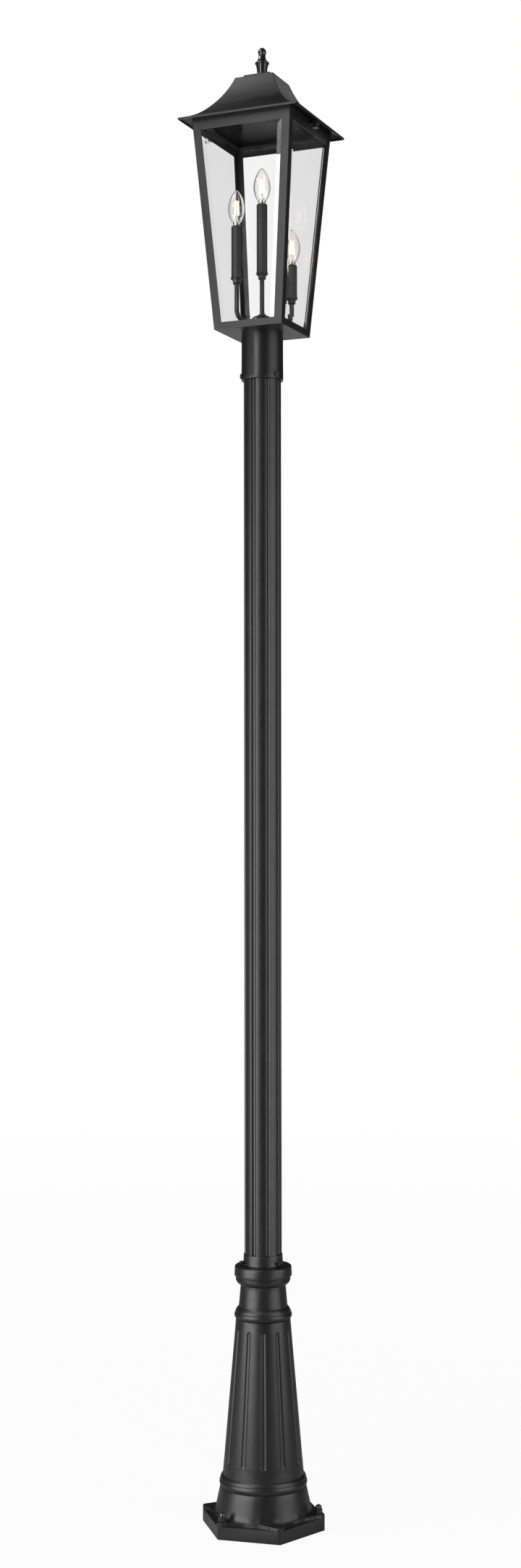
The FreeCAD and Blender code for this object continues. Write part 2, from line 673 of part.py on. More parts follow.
def top_frame():
    """The upper ring, with an ear on each side that the roof's thumb screws pass through."""
    ring = frame_ring(BODY_TOP_Z - ANGLE_W, BODY_TOP_Z, BODY_TOP_Z - ANGLE_T)
    start = BODY_TOP_HALF - ANGLE_T
    for side in (1, -1):
        ear = Part.makeBox(EAR_END_X - start, EAR_W, ANGLE_T, Vector(start, -EAR_W / 2, BODY_TOP_Z - ANGLE_T))
        corners = [e for e in ear.Edges if abs(e.tangentAt(e.FirstParameter).z) > 0.9
                   and e.Vertexes[0].X > EAR_END_X - 0.01]
        ear = ear.makeFillet(EAR_W / 3, corners)
        hole = cylinder(THUMB_SHANK_R + SLIP_GAP, BODY_TOP_Z - 5, BODY_TOP_Z + 1, Vector(THUMB_X, 0, 0))
        ring = ring.fuse(turned(ear.cut(hole), 0 if side == 1 else 180))
    return ring.removeSplitter()


# ---------------------------------------------------------------- glazing
PANE_FOOT_Z = FLOOR_Z + ANGLE_T + SLIP_GAP
PANE_TOP_Z = BODY_TOP_Z - ANGLE_T - 1.5
PANE_EDGE_FACE = ANGLE_T + PANE_BACK_GAP     # from the body's side to the outer face of the pane's edge
PANE_INNER_FACE = PANE_EDGE_FACE + PANE_EDGE_T


def pane_wire(inset, depth):
    """The pane's outline, set in by an inset, at a depth behind the body's front side."""
    z0, z1 = PANE_FOOT_Z + inset, PANE_TOP_Z - inset
    x0 = body_half(z0) - PANE_SIDE_INSET - inset
    x1 = body_half(z1) - PANE_SIDE_INSET - inset
    y0, y1 = depth - body_half(z0), depth - body_half(z1)
    corners = [Vector(-x0, y0, z0), Vector(x0, y0, z0), Vector(x1, y1, z1), Vector(-x1, y1, z1),
               Vector(-x0, y0, z0)]
    return Part.makePolygon(corners)


def glass_pane(turn):
    """A flat pane that tapers to its foot, with a wide bevel ground all round its outer face."""
    edge = Part.makeLoft([pane_wire(0, PANE_INNER_FACE), pane_wire(0, PANE_EDGE_FACE)], True, True)
    face_depth = PANE_INNER_FACE - PANE_T
    bevel = Part.makeLoft([pane_wire(0, PANE_EDGE_FACE), pane_wire(PANE_BEVEL, face_depth)], True, True)
    return turned(edge.fuse(bevel).removeSplitter(), turn)


def glass_clips():
    """Bent clips behind the rails that hold each pane by its foot and its head."""
    clips = []
    for flange_z, way in ((FLOOR_Z + ANGLE_T, 1), (BODY_TOP_Z - ANGLE_T, -1)):
        z0, z1 = sorted((flange_z, flange_z + way * CLIP_T))
        low, high = sorted((flange_z, flange_z + way * CLIP_H))
        tip_half = min(body_half(low), body_half(high))
        finger_y = -tip_half + PANE_INNER_FACE + SLIP_GAP
        for side in (-1, 1):
            x = side * CLIP_PLACE * body_half(flange_z) - CLIP_W / 2
            y0 = -body_half(flange_z) + PANE_INNER_FACE + SLIP_GAP
            foot = Part.makeBox(CLIP_W, finger_y + CLIP_T + CLIP_FOOT - y0 - 1, z1 - z0, Vector(x, y0 + 1, z0))
            finger = Part.makeBox(CLIP_W, CLIP_T, high - low, Vector(x, finger_y, low))
            clips += [turned(fused([foot, finger]), turn) for turn in SIDES.values()]
    return Part.makeCompound(clips)


# ---------------------------------------------------------------- roof
def roof_profile(inset):
    """Half of the roof's bell outline, moved inwards by an inset, as points and arcs.

    A tight arc leaves the eave at a low slope, and a wider one carries on from it up to the flat top.
    """
    lip_z = BODY_TOP_Z + EAVE_UP + EAVE_DROP
    a0, a1 = math.radians(EAVE_SLOPE), math.radians(KNEE_SLOPE)
    knee_x = EAVE_HALF - ROOF_LOWER_R * (math.sin(a1) - math.sin(a0))
    knee_z = lip_z + ROOF_LOWER_R * (math.cos(a0) - math.cos(a1))
    run, rise = knee_x - ROOF_TOP_HALF, ROOF_TOP_Z - knee_z
    chord = math.atan2(rise, run)
    upper_r = math.hypot(run, rise) / (2 * math.sin(chord - a1))

    def lower(a):
        return (EAVE_HALF - ROOF_LOWER_R * (math.sin(a) - math.sin(a0)) - inset * math.sin(a),
                lip_z + ROOF_LOWER_R * (math.cos(a0) - math.cos(a)) - inset * math.cos(a))

    def upper(a):
        return (knee_x - upper_r * (math.sin(a) - math.sin(a1)) - inset * math.sin(a),
                knee_z + upper_r * (math.cos(a1) - math.cos(a)) - inset * math.cos(a))

    start = math.asin((ROOF_LOWER_R * math.sin(a0) + inset) / (ROOF_LOWER_R + inset))
    stop = math.acos((knee_z + upper_r * math.cos(a1) - ROOF_TOP_Z + inset) / (upper_r + inset))
    return [lower(start), (lower((start + a1) / 2), lower(a1)), (upper((a1 + stop) / 2), upper(stop))]


def four_sided(steps, foot_z):
    """The solid inside a bell outline that is the same from all four sides: two crossed extrusions."""
    def mirror(p):
        return (-p[0], p[1])

    eave, lower, upper = steps
    half = eave[0]
    face = Part.Face(outline(
        (-half, foot_z), (half, foot_z), eave, lower, upper, mirror(upper[1]),
        (mirror(upper[0]), mirror(lower[1])), (mirror(lower[0]), mirror(eave))))
    bar = face.extrude(Vector(0, 4 * half, 0))
    bar.translate(Vector(0, -2 * half, 0))
    return bar.common(turned(bar, 90))


def roof_shell():
    """The bell-shaped sheet roof with its turned-down eave, hollow inside."""
    foot_z = BODY_TOP_Z + EAVE_UP
    outside = four_sided(roof_profile(0), foot_z)
    inside = four_sided(roof_profile(ROOF_T), foot_z - 1)
    hole = cylinder(FINIAL_STUD_R + SLIP_GAP, ROOF_TOP_Z - 5, ROOF_TOP_Z + 1)
    return outside.cut([inside, hole])


def roof_ring():
    """The ring inside the roof that sits on the frame, with a tab over each of the frame's ears."""
    z0 = BODY_TOP_Z + REST_GAP
    z1 = z0 + RING_T
    outer = BODY_TOP_HALF
    opening = square_prism(outer - RING_W, z0 - 1, ROOF_TOP_Z)
    plate = square_prism(outer, z0, z1)
    web = square_prism(outer, z0, ROOF_TOP_Z).cut(square_prism(outer - RING_T, z0, ROOF_TOP_Z))
    tabs = Part.makeBox(2 * EAR_END_X, RING_TAB_W, RING_T, Vector(-EAR_END_X, -RING_TAB_W / 2, z0))
    inside = four_sided(roof_profile(ROOF_T), z0 - 1)
    ring = fused([plate, tabs]).cut(opening).fuse(web.common(inside)).removeSplitter()
    return ring.cut([cylinder(THUMB_SHANK_R + SLIP_GAP, z0 - 1, z1 + 1, Vector(x, 0, 0))
                     for x in (THUMB_X, -THUMB_X)])


def tab_nut(x):
    """The round nut pressed on the ring's tab, which a thumb screw's thread enters."""
    z0 = BODY_TOP_Z + REST_GAP + RING_T
    nut = cylinder(TAB_NUT_R, z0, z0 + TAB_NUT_H).cut(
        cylinder(THUMB_SHANK_R + THREAD_GAP, z0 - 1, z0 + TAB_NUT_H + 1))
    return moved(nut, Vector(x, 0, 0))


def thumb_screw(x):
    """A thumb screw from below: flanged grip, stem against the ear, and the thread above."""
    top = BODY_TOP_Z - ANGLE_T - REST_GAP
    stem_z = top - THUMB_STEM_H
    foot = stem_z - THUMB_FLANGE_T
    end = BODY_TOP_Z + REST_GAP + RING_T + TAB_NUT_H
    screw = spun(
        (0, foot), (THUMB_FLANGE_R - THUMB_FILLET, foot), (THUMB_FLANGE_R, foot + THUMB_FILLET),
        (THUMB_FLANGE_R, stem_z - THUMB_FILLET), (THUMB_FLANGE_R - THUMB_FILLET, stem_z),
        (THUMB_STEM_R, stem_z), (THUMB_STEM_R, top), (THUMB_SHANK_R, top), (THUMB_SHANK_R, end), (0, end))
    return moved(screw, Vector(x, 0, 0))


def roof_cap():
    """The shallow pressed box that stands on the roof's flat top and carries the finial."""
    box = square_prism(CAP_HALF, ROOF_TOP_Z, CAP_TOP_Z)
    upright = [e for e in box.Edges if abs(e.tangentAt(e.FirstParameter).z) > 0.9]
    box = box.makeFillet(CAP_ROUND, upright)
    inside = square_prism(CAP_HALF - ROOF_T, ROOF_TOP_Z - 1, CAP_TOP_Z - ROOF_T)
    return box.cut([inside, cylinder(FINIAL_STUD_R + SLIP_GAP, ROOF_TOP_Z, CAP_TOP_Z + 1)])


def finial():
    """The turned finial: foot, stem swelling to a flange, waist, ring and ball."""
    z0 = CAP_TOP_Z
    stem_z = z0 + FINIAL_FOOT_H
    flange_z = stem_z + FINIAL_STEM_H
    flange_top = flange_z + FINIAL_FLANGE_T
    waist_z = flange_top + FINIAL_WAIST_H
    ring_z = waist_z + FINIAL_RING_T
    rise = math.sqrt(FINIAL_BALL_R ** 2 - FINIAL_WAIST_R ** 2)
    ball_z = ring_z + rise
    shell = spun(
        (0, z0),
        (FINIAL_FOOT_R, z0),
        (FINIAL_FOOT_R, z0 + FINIAL_FOOT_H / 2),
        ((FINIAL_FOOT_R - 2.5, stem_z + 1.0), (FINIAL_STEM_R, stem_z + FINIAL_FOOT_H)),
        ((FINIAL_STEM_R + 0.3, stem_z + 0.6 * FINIAL_STEM_H), (FINIAL_NECK_R, flange_z - 1)),
        ((FINIAL_FLANGE_R, flange_z + FINIAL_FLANGE_T / 2), (FINIAL_NECK_R, flange_top + 1)),
        ((FINIAL_WAIST_R + 1.7, flange_top + 0.4 * FINIAL_WAIST_H), (FINIAL_WAIST_R, waist_z)),
        ((FINIAL_RING_R, waist_z + FINIAL_RING_T / 2), (FINIAL_WAIST_R, ring_z)),
        ((FINIAL_BALL_R, ball_z), (0, ball_z + FINIAL_BALL_R)),
    )
    return shell.cut(cylinder(FINIAL_STUD_R + THREAD_GAP, z0 - 1, z0 + FINIAL_STUD_IN + 1))


def finial_stud():
    foot = ROOF_TOP_Z - ROOF_T - FINIAL_NUT_H - FINIAL_STUD_END
    return cylinder(FINIAL_STUD_R, foot, CAP_TOP_Z + FINIAL_STUD_IN)


def finial_nut():
    top = ROOF_TOP_Z - ROOF_T
    nut = hexagon(2 * FINIAL_NUT_R, top - FINIAL_NUT_H, top)
    return nut.cut(cylinder(FINIAL_STUD_R + THREAD_GAP, top - FINIAL_NUT_H - 1, top + 1))


# ---------------------------------------------------------------- lamp cluster
def lamp_place(name):
    angle, reach = LAMPS[name][:2]
    return at(reach, angle)


def lamp_hub():
    """The hollow dome on the lantern floor that the arms and the centre rod come out of."""
    side_z = FLOOR_Z + HUB_SIDE_H
    inner_r, inner_z = HUB_R - HUB_WALL, HUB_TOP_Z - HUB_WALL
    outside = spun((0, FLOOR_Z), (HUB_R, FLOOR_Z), (HUB_R, side_z),
                   ((HUB_CROWN_R, HUB_TOP_Z - HUB_CROWN_DROP), (HUB_TOP_R, HUB_TOP_Z)), (0, HUB_TOP_Z))
    inside = spun((0, FLOOR_Z), (inner_r, FLOOR_Z), (inner_r, side_z), (HUB_TOP_R, inner_z), (0, inner_z))
    dome = outside.cut(inside)
    openings = [cylinder(TUBE_R + SLIP_GAP, HUB_TOP_Z - 5, HUB_TOP_Z + 1)]
    z = FLOOR_Z + ARM_RISE
    for name, (angle, reach, rim, top) in LAMPS.items():
        if reach:
            openings.append(rod(at(0, angle, z), at(HUB_R + 5, angle, z), TUBE_R + SLIP_GAP))
    return dome.cut(openings)


def tube(z0, z1):
    return cylinder(TUBE_R, z0, z1).cut(cylinder(TUBE_BORE_R, z0 - 1, z1 + 1))


def cluster_nipple():
    """The hollow threaded stem that bolts hub, floor plate and fitter together and lets the leads up."""
    return tube(POST_TOP_Z - NIPPLE_TAIL, HUB_TOP_Z + ROD_NUT_H / 2)


def locknut():
    nut = hexagon(2 * LOCKNUT_R, POST_TOP_Z - LOCKNUT_H, POST_TOP_Z)
    return nut.cut(cylinder(TUBE_R + THREAD_GAP, POST_TOP_Z - LOCKNUT_H - 1, POST_TOP_Z + 1))


def rod_nut():
    """The turned collar at the rod's foot, which screws down on the nipple."""
    z0, z1 = HUB_TOP_Z, HUB_TOP_Z + ROD_NUT_H
    bore = TUBE_R + THREAD_GAP
    return spun((bore, z0), (ROD_NUT_R, z0), (ROD_NUT_R, z1 - 1.5), (TUBE_R + 1.2, z1), (bore, z1))


def centre_rod():
    return tube(HUB_TOP_Z + ROD_NUT_H / 2, cup_foot("centre") + CUP_H / 2)


def cup_foot(name):
    return BODY_Z + LAMPS[name][2] - CUP_H


def lamp_arm(name):
    """A bent tube: level out of the hub, one round bend, then straight up into its cup."""
    angle, reach, rim, top = LAMPS[name]
    start = HUB_R - ARM_IN_HUB
    z = FLOOR_Z + ARM_RISE
    slant = ARM_BEND_R * math.cos(math.radians(45))
    bend_from = Vector(reach - ARM_BEND_R, 0, z)
    bend_to = Vector(reach, 0, z + ARM_BEND_R)
    middle = Vector(reach - ARM_BEND_R + slant, 0, z + ARM_BEND_R - slant)
    path = Part.Wire([
        Part.LineSegment(Vector(start, 0, z), bend_from).toShape(),
        Part.Arc(bend_from, middle, bend_to).toShape(),
        Part.LineSegment(bend_to, Vector(reach, 0, cup_foot(name) + CUP_H / 2)).toShape(),
    ])

    def swept(radius):
        ring = Part.Wire(Part.makeCircle(radius, Vector(start, 0, z), Vector(1, 0, 0)))
        return path.makePipeShell([ring], True, True)

    return turned(swept(TUBE_R).cut(swept(TUBE_BORE_R)), angle)


def lamp_cup(name):
    """The turned cup at the foot of a candle sleeve."""
    z0 = cup_foot(name)
    z1 = z0 + CUP_H
    bore = TUBE_R + THREAD_GAP
    seat = z1 - CUP_SEAT
    inner = SLEEVE_R + SLIP_GAP
    cup = spun(
        (bore, z0),
        (CUP_FOOT_R, z0),
        (CUP_RING_R - 0.6, z0 + 2.0),
        (CUP_RING_R, z0 + 2.7),
        (CUP_RING_R, z0 + 3.7),
        (CUP_RING_R - 0.6, z0 + 4.4),
        (CUP_WAIST_R, z0 + 5.4),
        (CUP_WAIST_R + 1.6, z0 + 8.6),
        (CUP_RIM_R - 0.6, z0 + 11.0),
        (CUP_RIM_R, z0 + 11.7),
        (CUP_RIM_R - 0.4, z1),
        (inner, z1),
        (inner, seat),
        (bore, seat),
    )
    return moved(cup, lamp_place(name))


def candle_sleeve(name):
    """The plain black candle tube, with a rounded head and a hole for the lamp's cap."""
    foot, top = BODY_Z + LAMPS[name][2] - CUP_SEAT, BODY_Z + LAMPS[name][3]
    bore = SLEEVE_R - SLEEVE_WALL
    sleeve = spun(
        (bore, foot), (SLEEVE_R, foot), (SLEEVE_R, top - SLEEVE_ROUND), (SLEEVE_R - SLEEVE_ROUND, top),
        (SLEEVE_HOLE_R, top), (SLEEVE_HOLE_R, top - SLEEVE_TOP_T), (bore, top - SLEEVE_TOP_T))
    return moved(sleeve, lamp_place(name))


def lamp_socket(name):
    """The lampholder inside the sleeve, on a hollow stem that stands in the cup."""
    top = BODY_Z + LAMPS[name][3] - SLEEVE_TOP_T
    foot = top - SOCKET_BODY_H
    outer = SLEEVE_R - SLEEVE_WALL - SLIP_GAP
    thread = LAMP_THREAD_R + THREAD_GAP
    floor = BODY_Z + LAMPS[name][3] - LAMP_THREAD_H - LAMP_CONTACT_H
    stem_foot = cup_foot(name) + CUP_H / 2
    socket = spun(
        (TUBE_BORE_R, stem_foot), (TUBE_R, stem_foot), (TUBE_R, foot), (outer, foot), (outer, top),
        (thread, top), (thread, floor), (0, floor), (0, foot + 4), (TUBE_BORE_R, foot + 4))
    return moved(socket, lamp_place(name))


def lamp_foot_z(name):
    return BODY_Z + LAMPS[name][3] + SLIP_GAP


def lamp_cap(name):
    """The lamp's metal cap: contact, screw shell and the skirt that holds the glass."""
    z0 = lamp_foot_z(name)
    thread_z = z0 - LAMP_THREAD_H
    top = z0 + LAMP_SKIRT_H
    cap = spun(
        (0, thread_z - LAMP_CONTACT_H + SLIP_GAP), (LAMP_CONTACT_R, thread_z - LAMP_CONTACT_H + SLIP_GAP),
        (LAMP_CONTACT_R + 0.6, thread_z), (LAMP_THREAD_R - 1, thread_z), (LAMP_THREAD_R, thread_z + 1),
        (LAMP_THREAD_R, z0), (LAMP_SKIRT_R - 1, z0), (LAMP_SKIRT_R, z0 + 1), (LAMP_SKIRT_R, top),
        (MOUNT_FOOT_R, top), (MOUNT_FOOT_R, top - 1), (0, top - 1))
    return moved(cap, lamp_place(name))


def swell(widest, end, steps):
    """Points along the arc that leaves the widest point upright and runs to an end point."""
    run, rise = widest[0] - end[0], end[1] - widest[1]
    radius = (run ** 2 + rise ** 2) / (2 * run)
    turns = [math.asin(rise / radius) * i / steps for i in range(steps + 1)]
    return [(widest[0] - radius * (1 - math.cos(a)), widest[1] + radius * math.sin(a)) for a in turns]


def glass_steps(z0, wall):
    """The candle lamp's outline from the foot of its glass to the tip, set in by a wall."""
    widest = (GLASS_R - wall, z0 + GLASS_WIDE_H)
    tip_r = GLASS_TIP_R - wall
    tip_z = z0 + GLASS_H - GLASS_TIP_R
    lean = math.radians(45)
    tip_mid = (tip_r * math.cos(lean), tip_z + tip_r * math.sin(lean))
    low = swell(widest, (GLASS_FOOT_R - wall, z0), GLASS_LOW_STEPS)
    high = swell(widest, (tip_r, tip_z), GLASS_HIGH_STEPS)
    return low[::-1] + high[1:] + [(tip_mid, (0, tip_z + tip_r))]


def lamp_glass(name):
    """The thin candle-shaped envelope, closed at its tip and open at the cap."""
    z0 = lamp_foot_z(name) + LAMP_SKIRT_H
    outside = glass_steps(z0, 0)
    inside = glass_steps(z0, GLASS_WALL)
    bulb = spun((0, z0), *outside).cut(spun((0, z0 - 1), (inside[0][0], z0 - 1), *inside))
    return moved(bulb, lamp_place(name))


def lamp_filaments(name):
    """The glass mount with its wires, and the upright filament sticks round it."""
    z0 = lamp_foot_z(name) + LAMP_SKIRT_H - 1
    low = z0 + MOUNT_H
    high = low + FILAMENT_H
    mount = spun((0, z0), (MOUNT_FOOT_R - SLIP_GAP, z0), (MOUNT_TOP_R, low - 3), (MOUNT_TOP_R, low), (0, low))
    pieces = [mount, cylinder(FILAMENT_WIRE_R, low - 1, high + 2)]
    for i in range(FILAMENTS):
        angle = i * 360 / FILAMENTS
        foot, head = at(FILAMENT_CIRCLE_R, angle, low), at(FILAMENT_CIRCLE_R - 1, angle, high)
        pieces.append(rod(foot, head, FILAMENT_R))
        pieces.append(rod(Vector(0, 0, low - 0.5), foot + Vector(0, 0, 0.5), FILAMENT_WIRE_R))
        pieces.append(rod(Vector(0, 0, high + 1), head - Vector(0, 0, 0.5), FILAMENT_WIRE_R))
    return moved(fused(pieces), lamp_place(name))


# ---------------------------------------------------------------- nodes
def group(shapes):
    return Part.makeCompound(list(shapes))


def nodes():
    yield "base_casting", base_casting()
    yield "anchor_washers", group(anchor_washer(a) for a in ANCHOR_ANGLES)
    yield "anchor_nuts", group(anchor_nut(a) for a in ANCHOR_ANGLES)
    yield "base_collar", base_collar()
    yield "collar_set_screws", group(collar_set_screw(a) for a in COLLAR_SCREW_ANGLES)
    yield "fluted_post", fluted_post()
    yield "post_fitter", post_fitter()
    yield "fitter_set_screws", group(fitter_set_screw(a) for a in FITTER_SCREW_ANGLES)
    yield "bottom_plate", bottom_plate()
    yield "bottom_frame", bottom_frame()
    yield "top_frame", top_frame()
    for name, turn in SIDES.items():
        yield f"corner_post_{name}", corner_post(turn)
        yield f"glass_pane_{name}", glass_pane(turn)
    yield "glass_clips", glass_clips()
    yield "roof_shell", roof_shell()
    yield "roof_ring", roof_ring()
    yield "roof_ring_nuts", group(tab_nut(x) for x in (THUMB_X, -THUMB_X))
    yield "roof_cap", roof_cap()
    yield "finial", finial()
    yield "finial_stud", finial_stud()
    yield "finial_nut", finial_nut()
    yield "thumb_screw_right", thumb_screw(THUMB_X)
    yield "thumb_screw_left", thumb_screw(-THUMB_X)
    yield "lamp_hub", lamp_hub()
    yield "cluster_nipple", cluster_nipple()
    yield "cluster_locknut", locknut()
    yield "rod_nut", rod_nut()
    yield "centre_rod", centre_rod()
    for name, (angle, reach, rim, top) in LAMPS.items():
        if reach:
            yield f"lamp_arm_{name}", lamp_arm(name)
        yield f"candle_cup_{name}", lamp_cup(name)
        yield f"candle_sleeve_{name}", candle_sleeve(name)
        yield f"lamp_socket_{name}", lamp_socket(name)
        yield f"lamp_cap_{name}", lamp_cap(name)
        yield f"lamp_glass_{name}", lamp_glass(name)
        yield f"lamp_filaments_{name}", lamp_filaments(name)


os.makedirs("parts", exist_ok=True)
count = 0
for node, shape in nodes():
    count += 1
    shape.exportStep(f"parts/{node}.step")
    state = "ok" if shape.isValid() and shape.Solids else "NOT VALID"
    print(f"{node:24s} {len(shape.Solids):3d} solids {shape.Volume / 1000:10.2f} cm3  {state}")
print(count, "nodes")
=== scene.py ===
# %% [markdown]
# # A garden lamp post
# This lesson dresses a black garden lamp post: a cast base, a grooved tube and a glass lantern with
# three candle lamps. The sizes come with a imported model, the frame, whose solids are already right.
# So the work here is finish: paint, glass, metal, rounded edges, light and a camera. We load the
# frame first, because every later piece reads its place from it.

# %% Load the frame
import json
import math

import bmesh
import bpy
from mathutils import Matrix, Vector

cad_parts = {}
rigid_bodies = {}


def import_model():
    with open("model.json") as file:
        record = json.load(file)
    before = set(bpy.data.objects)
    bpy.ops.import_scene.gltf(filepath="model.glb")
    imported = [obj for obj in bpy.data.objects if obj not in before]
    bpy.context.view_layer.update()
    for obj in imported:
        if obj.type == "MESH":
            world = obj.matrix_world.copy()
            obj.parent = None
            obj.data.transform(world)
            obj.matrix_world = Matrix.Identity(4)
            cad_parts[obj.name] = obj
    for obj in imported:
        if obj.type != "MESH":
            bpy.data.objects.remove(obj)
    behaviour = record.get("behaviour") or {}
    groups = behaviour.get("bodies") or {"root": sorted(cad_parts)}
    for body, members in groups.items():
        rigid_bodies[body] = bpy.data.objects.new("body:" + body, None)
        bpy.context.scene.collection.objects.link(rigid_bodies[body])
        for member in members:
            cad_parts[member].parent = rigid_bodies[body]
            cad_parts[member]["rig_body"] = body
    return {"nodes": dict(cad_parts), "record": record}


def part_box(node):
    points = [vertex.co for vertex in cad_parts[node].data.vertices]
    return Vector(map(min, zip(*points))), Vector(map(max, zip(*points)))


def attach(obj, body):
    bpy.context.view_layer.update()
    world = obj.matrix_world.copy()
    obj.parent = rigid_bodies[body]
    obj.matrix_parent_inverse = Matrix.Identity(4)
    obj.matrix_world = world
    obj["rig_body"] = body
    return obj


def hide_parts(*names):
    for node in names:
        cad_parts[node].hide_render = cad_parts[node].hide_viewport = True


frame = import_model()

MM = 0.001
UP = Vector((0, 0, 1))
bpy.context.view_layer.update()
nodes = frame["nodes"]

# %% [markdown]
# ## Where the camera stands
# The post is seen level, from about four and a half metres, with the lantern turned so that one
# corner comes forward. A wide lens from close by would also hold the whole post, but the foot and
# the roof would lean. A 50 mm lens from this far keeps the tube straight. The lens stands a little
# below the middle of the post, so we shift the picture upwards rather than tilt the camera: a tilt
# would make the upright lines run together.

# %% Camera
CAMERA_TURN = 23.7          # degrees round the post from its front
CAMERA_DISTANCE = 4.45
CAMERA_HEIGHT = 1.4457
CAMERA_SIDE = -0.0046       # to the right; a negative one moves the post right in the picture
CAMERA_ROLL = -0.05         # degrees
CAMERA_SHIFT = 0.0215       # share of the picture's height by which the view is moved up
LENS, SENSOR = 49.98, 36    # both in mm, the sensor by its long side


def put(name, data):
    """Makes an object of a camera, a light or a mesh and adds it to the scene."""
    thing = bpy.data.objects.new(name, data)
    bpy.context.scene.collection.objects.link(thing)
    return thing


turn = math.radians(CAMERA_TURN)
away = Vector((math.sin(turn), -math.cos(turn), 0))
to_right = Vector((math.cos(turn), math.sin(turn), 0))
camera = put("camera", bpy.data.cameras.new("camera"))
camera.data.lens = LENS
camera.data.sensor_width = SENSOR
camera.data.shift_y = CAMERA_SHIFT
camera.location = away * CAMERA_DISTANCE + to_right * CAMERA_SIDE + UP * CAMERA_HEIGHT
roll = Matrix.Rotation(math.radians(CAMERA_ROLL), 3, "Z")
look = (-away).to_track_quat("-Z", "Y").to_matrix() @ roll
camera.rotation_euler = look.to_euler()
bpy.context.scene.camera = camera
bpy.context.scene.view_settings.view_transform = "Standard"
print("camera at", [round(v, 3) for v in camera.location])

# %% [markdown]
# ## Nodes in fewer words
# A world and a material are both trees of nodes, and each node has to be added, set and linked. One
# helper does all three: it is told what each socket of the new node gets, and where that is another
# node's output, it draws a link. The trees could be drawn by hand in the editor instead, but
# written down they can be read, compared and changed in one place.

# %% Helpers for nodes
def connect(node, sockets):
    """Gives each socket its value or, where it gets another node's output, a link."""
    for socket, value in sockets.items():
        if isinstance(value, bpy.types.NodeSocket):
            node.id_data.links.new(value, node.inputs[socket])
        else:
            node.inputs[socket].default_value = value


def add(tree, kind, sockets=None, **options):
    """Adds a shader node with its options and sockets set."""
    node = tree.nodes.new("ShaderNode" + kind)
    for name, option in options.items():
        setattr(node, name, option)
    connect(node, sockets or {})
    return node


def calculate(tree, operation, first, second):
    """The result of a Math node. Each term is a number or another node's output."""
    return add(tree, "Math", {0: first, 1: second}, operation=operation).outputs[0]


def mix(tree, share, first, second):
    """A Mix Shader of two nodes: all of the first where share is 0, of the second where it is 1."""
    sockets = {0: share, 1: first.outputs[0], 2: second.outputs[0]}
    return add(tree, "MixShader", sockets)


print("helpers: connect, add, calculate, mix")

# %% [markdown]
# ## A pale studio
# The picture has a white ground that runs into a white backdrop. White light poured over everything
# would wash the black paint grey, so the world is white only to the camera, straight or through
# glass. A ray that has left paint or metal on its way meets a dim room instead. We tell the two
# apart by counting a ray's matt and shiny bounces: through glass alone both counts stay at nought.

# %% World
WHITE = (1, 1, 1, 1)
WORLD_GLOW = 0.10           # what the room gives to matt surfaces
WORLD_MIRROR = 0.04         # what the room shows in paint and metal
NO_BOUNCE = 0.5             # a whole number below this is nought


def seen_directly(tree):
    """1 for the camera's own rays and for those that got here through glass alone, else 0."""
    rays = add(tree, "LightPath").outputs
    bounces = calculate(tree, "ADD", rays["Diffuse Depth"], rays["Glossy Depth"])
    clean = calculate(tree, "LESS_THAN", bounces, NO_BOUNCE)
    through = calculate(tree, "MULTIPLY", clean, rays["Is Transmission Ray"])
    return calculate(tree, "MAXIMUM", through, rays["Is Camera Ray"])


world = bpy.data.worlds.new("studio")
bpy.context.scene.world = world
world.use_nodes = True
tree = world.node_tree
tree.nodes.clear()
room = add(tree, "Background", {"Color": WHITE, "Strength": WORLD_GLOW})
mirror = add(tree, "Background", {"Color": WHITE, "Strength": WORLD_MIRROR})
white = add(tree, "Background", {"Color": WHITE, "Strength": 1})
dim = mix(tree, add(tree, "LightPath").outputs["Is Glossy Ray"], room, mirror)
shown = mix(tree, seen_directly(tree), dim, white)
add(tree, "OutputWorld", {"Surface": shown.outputs[0]})
print("world: room", WORLD_GLOW, "mirror", WORLD_MIRROR)

# %% [markdown]
# ## Where every piece and finish begins
# Each piece is shaped as a bmesh, Blender's mesh for editing, and has to become a plain mesh before
# an object can hold it. Each finish starts as a new material with the Principled shader in it,
# which covers paint, metal, plastic and glass alike. Separate shaders for each would work as well,
# but then every finish would be put together in its own way.

# %% Helpers for meshes and materials
def mesh_of(name, bm):
    """Turns a finished bmesh into a mesh and frees it."""
    mesh = bpy.data.meshes.new(name)
    bm.to_mesh(mesh)
    bm.free()
    return mesh


def new_finish(name, roughness, metallic=0.0):
    """A new material, its tree and its main shader."""
    material = bpy.data.materials.new(name)
    material.use_nodes = True
    shader = material.node_tree.nodes["Principled BSDF"]
    connect(shader, {"Roughness": roughness, "Metallic": metallic})
    return material, material.node_tree, shader


def show(tree, shader):
    """Makes a shader the one that the surface shows."""
    connect(tree.nodes["Material Output"], {"Surface": shader.outputs[0]})


print("helpers: mesh_of, new_finish, show")

# %% [markdown]
# ## The ground
# The post stands on a large sheet of white paper. Pure white would swallow the post's shadow, so
# near the foot a small share of the paper's own shade shows, and farther out it turns into the
# white of the backdrop without an edge. Seen in paint, the far floor behind the post is pale: that
# is what lights up the underside of the lantern, which we see at a flat angle, like a road in the
# sun.

# %% Floor
FLOOR_HALF = 30.0
FLOOR_DROP = 0.5 * MM        # the paper lies just under the foot
PAPER_TONE = 0.42
PAPER_ROUGHNESS = 0.9
FLOOR_NEAR = 0.95            # how much of the floor the camera sees as bare white, by the foot
WHITER_FROM, WHITER_TO = 0.5, 6.0    # metres from the foot over which that share grows to all of it
FLOOR_BEHIND = 0.90          # how pale the far floor behind the post is in the mirror of paint
BEHIND_FROM, BEHIND_TO = 3.0, 8.0    # metres behind the post over which it turns that pale

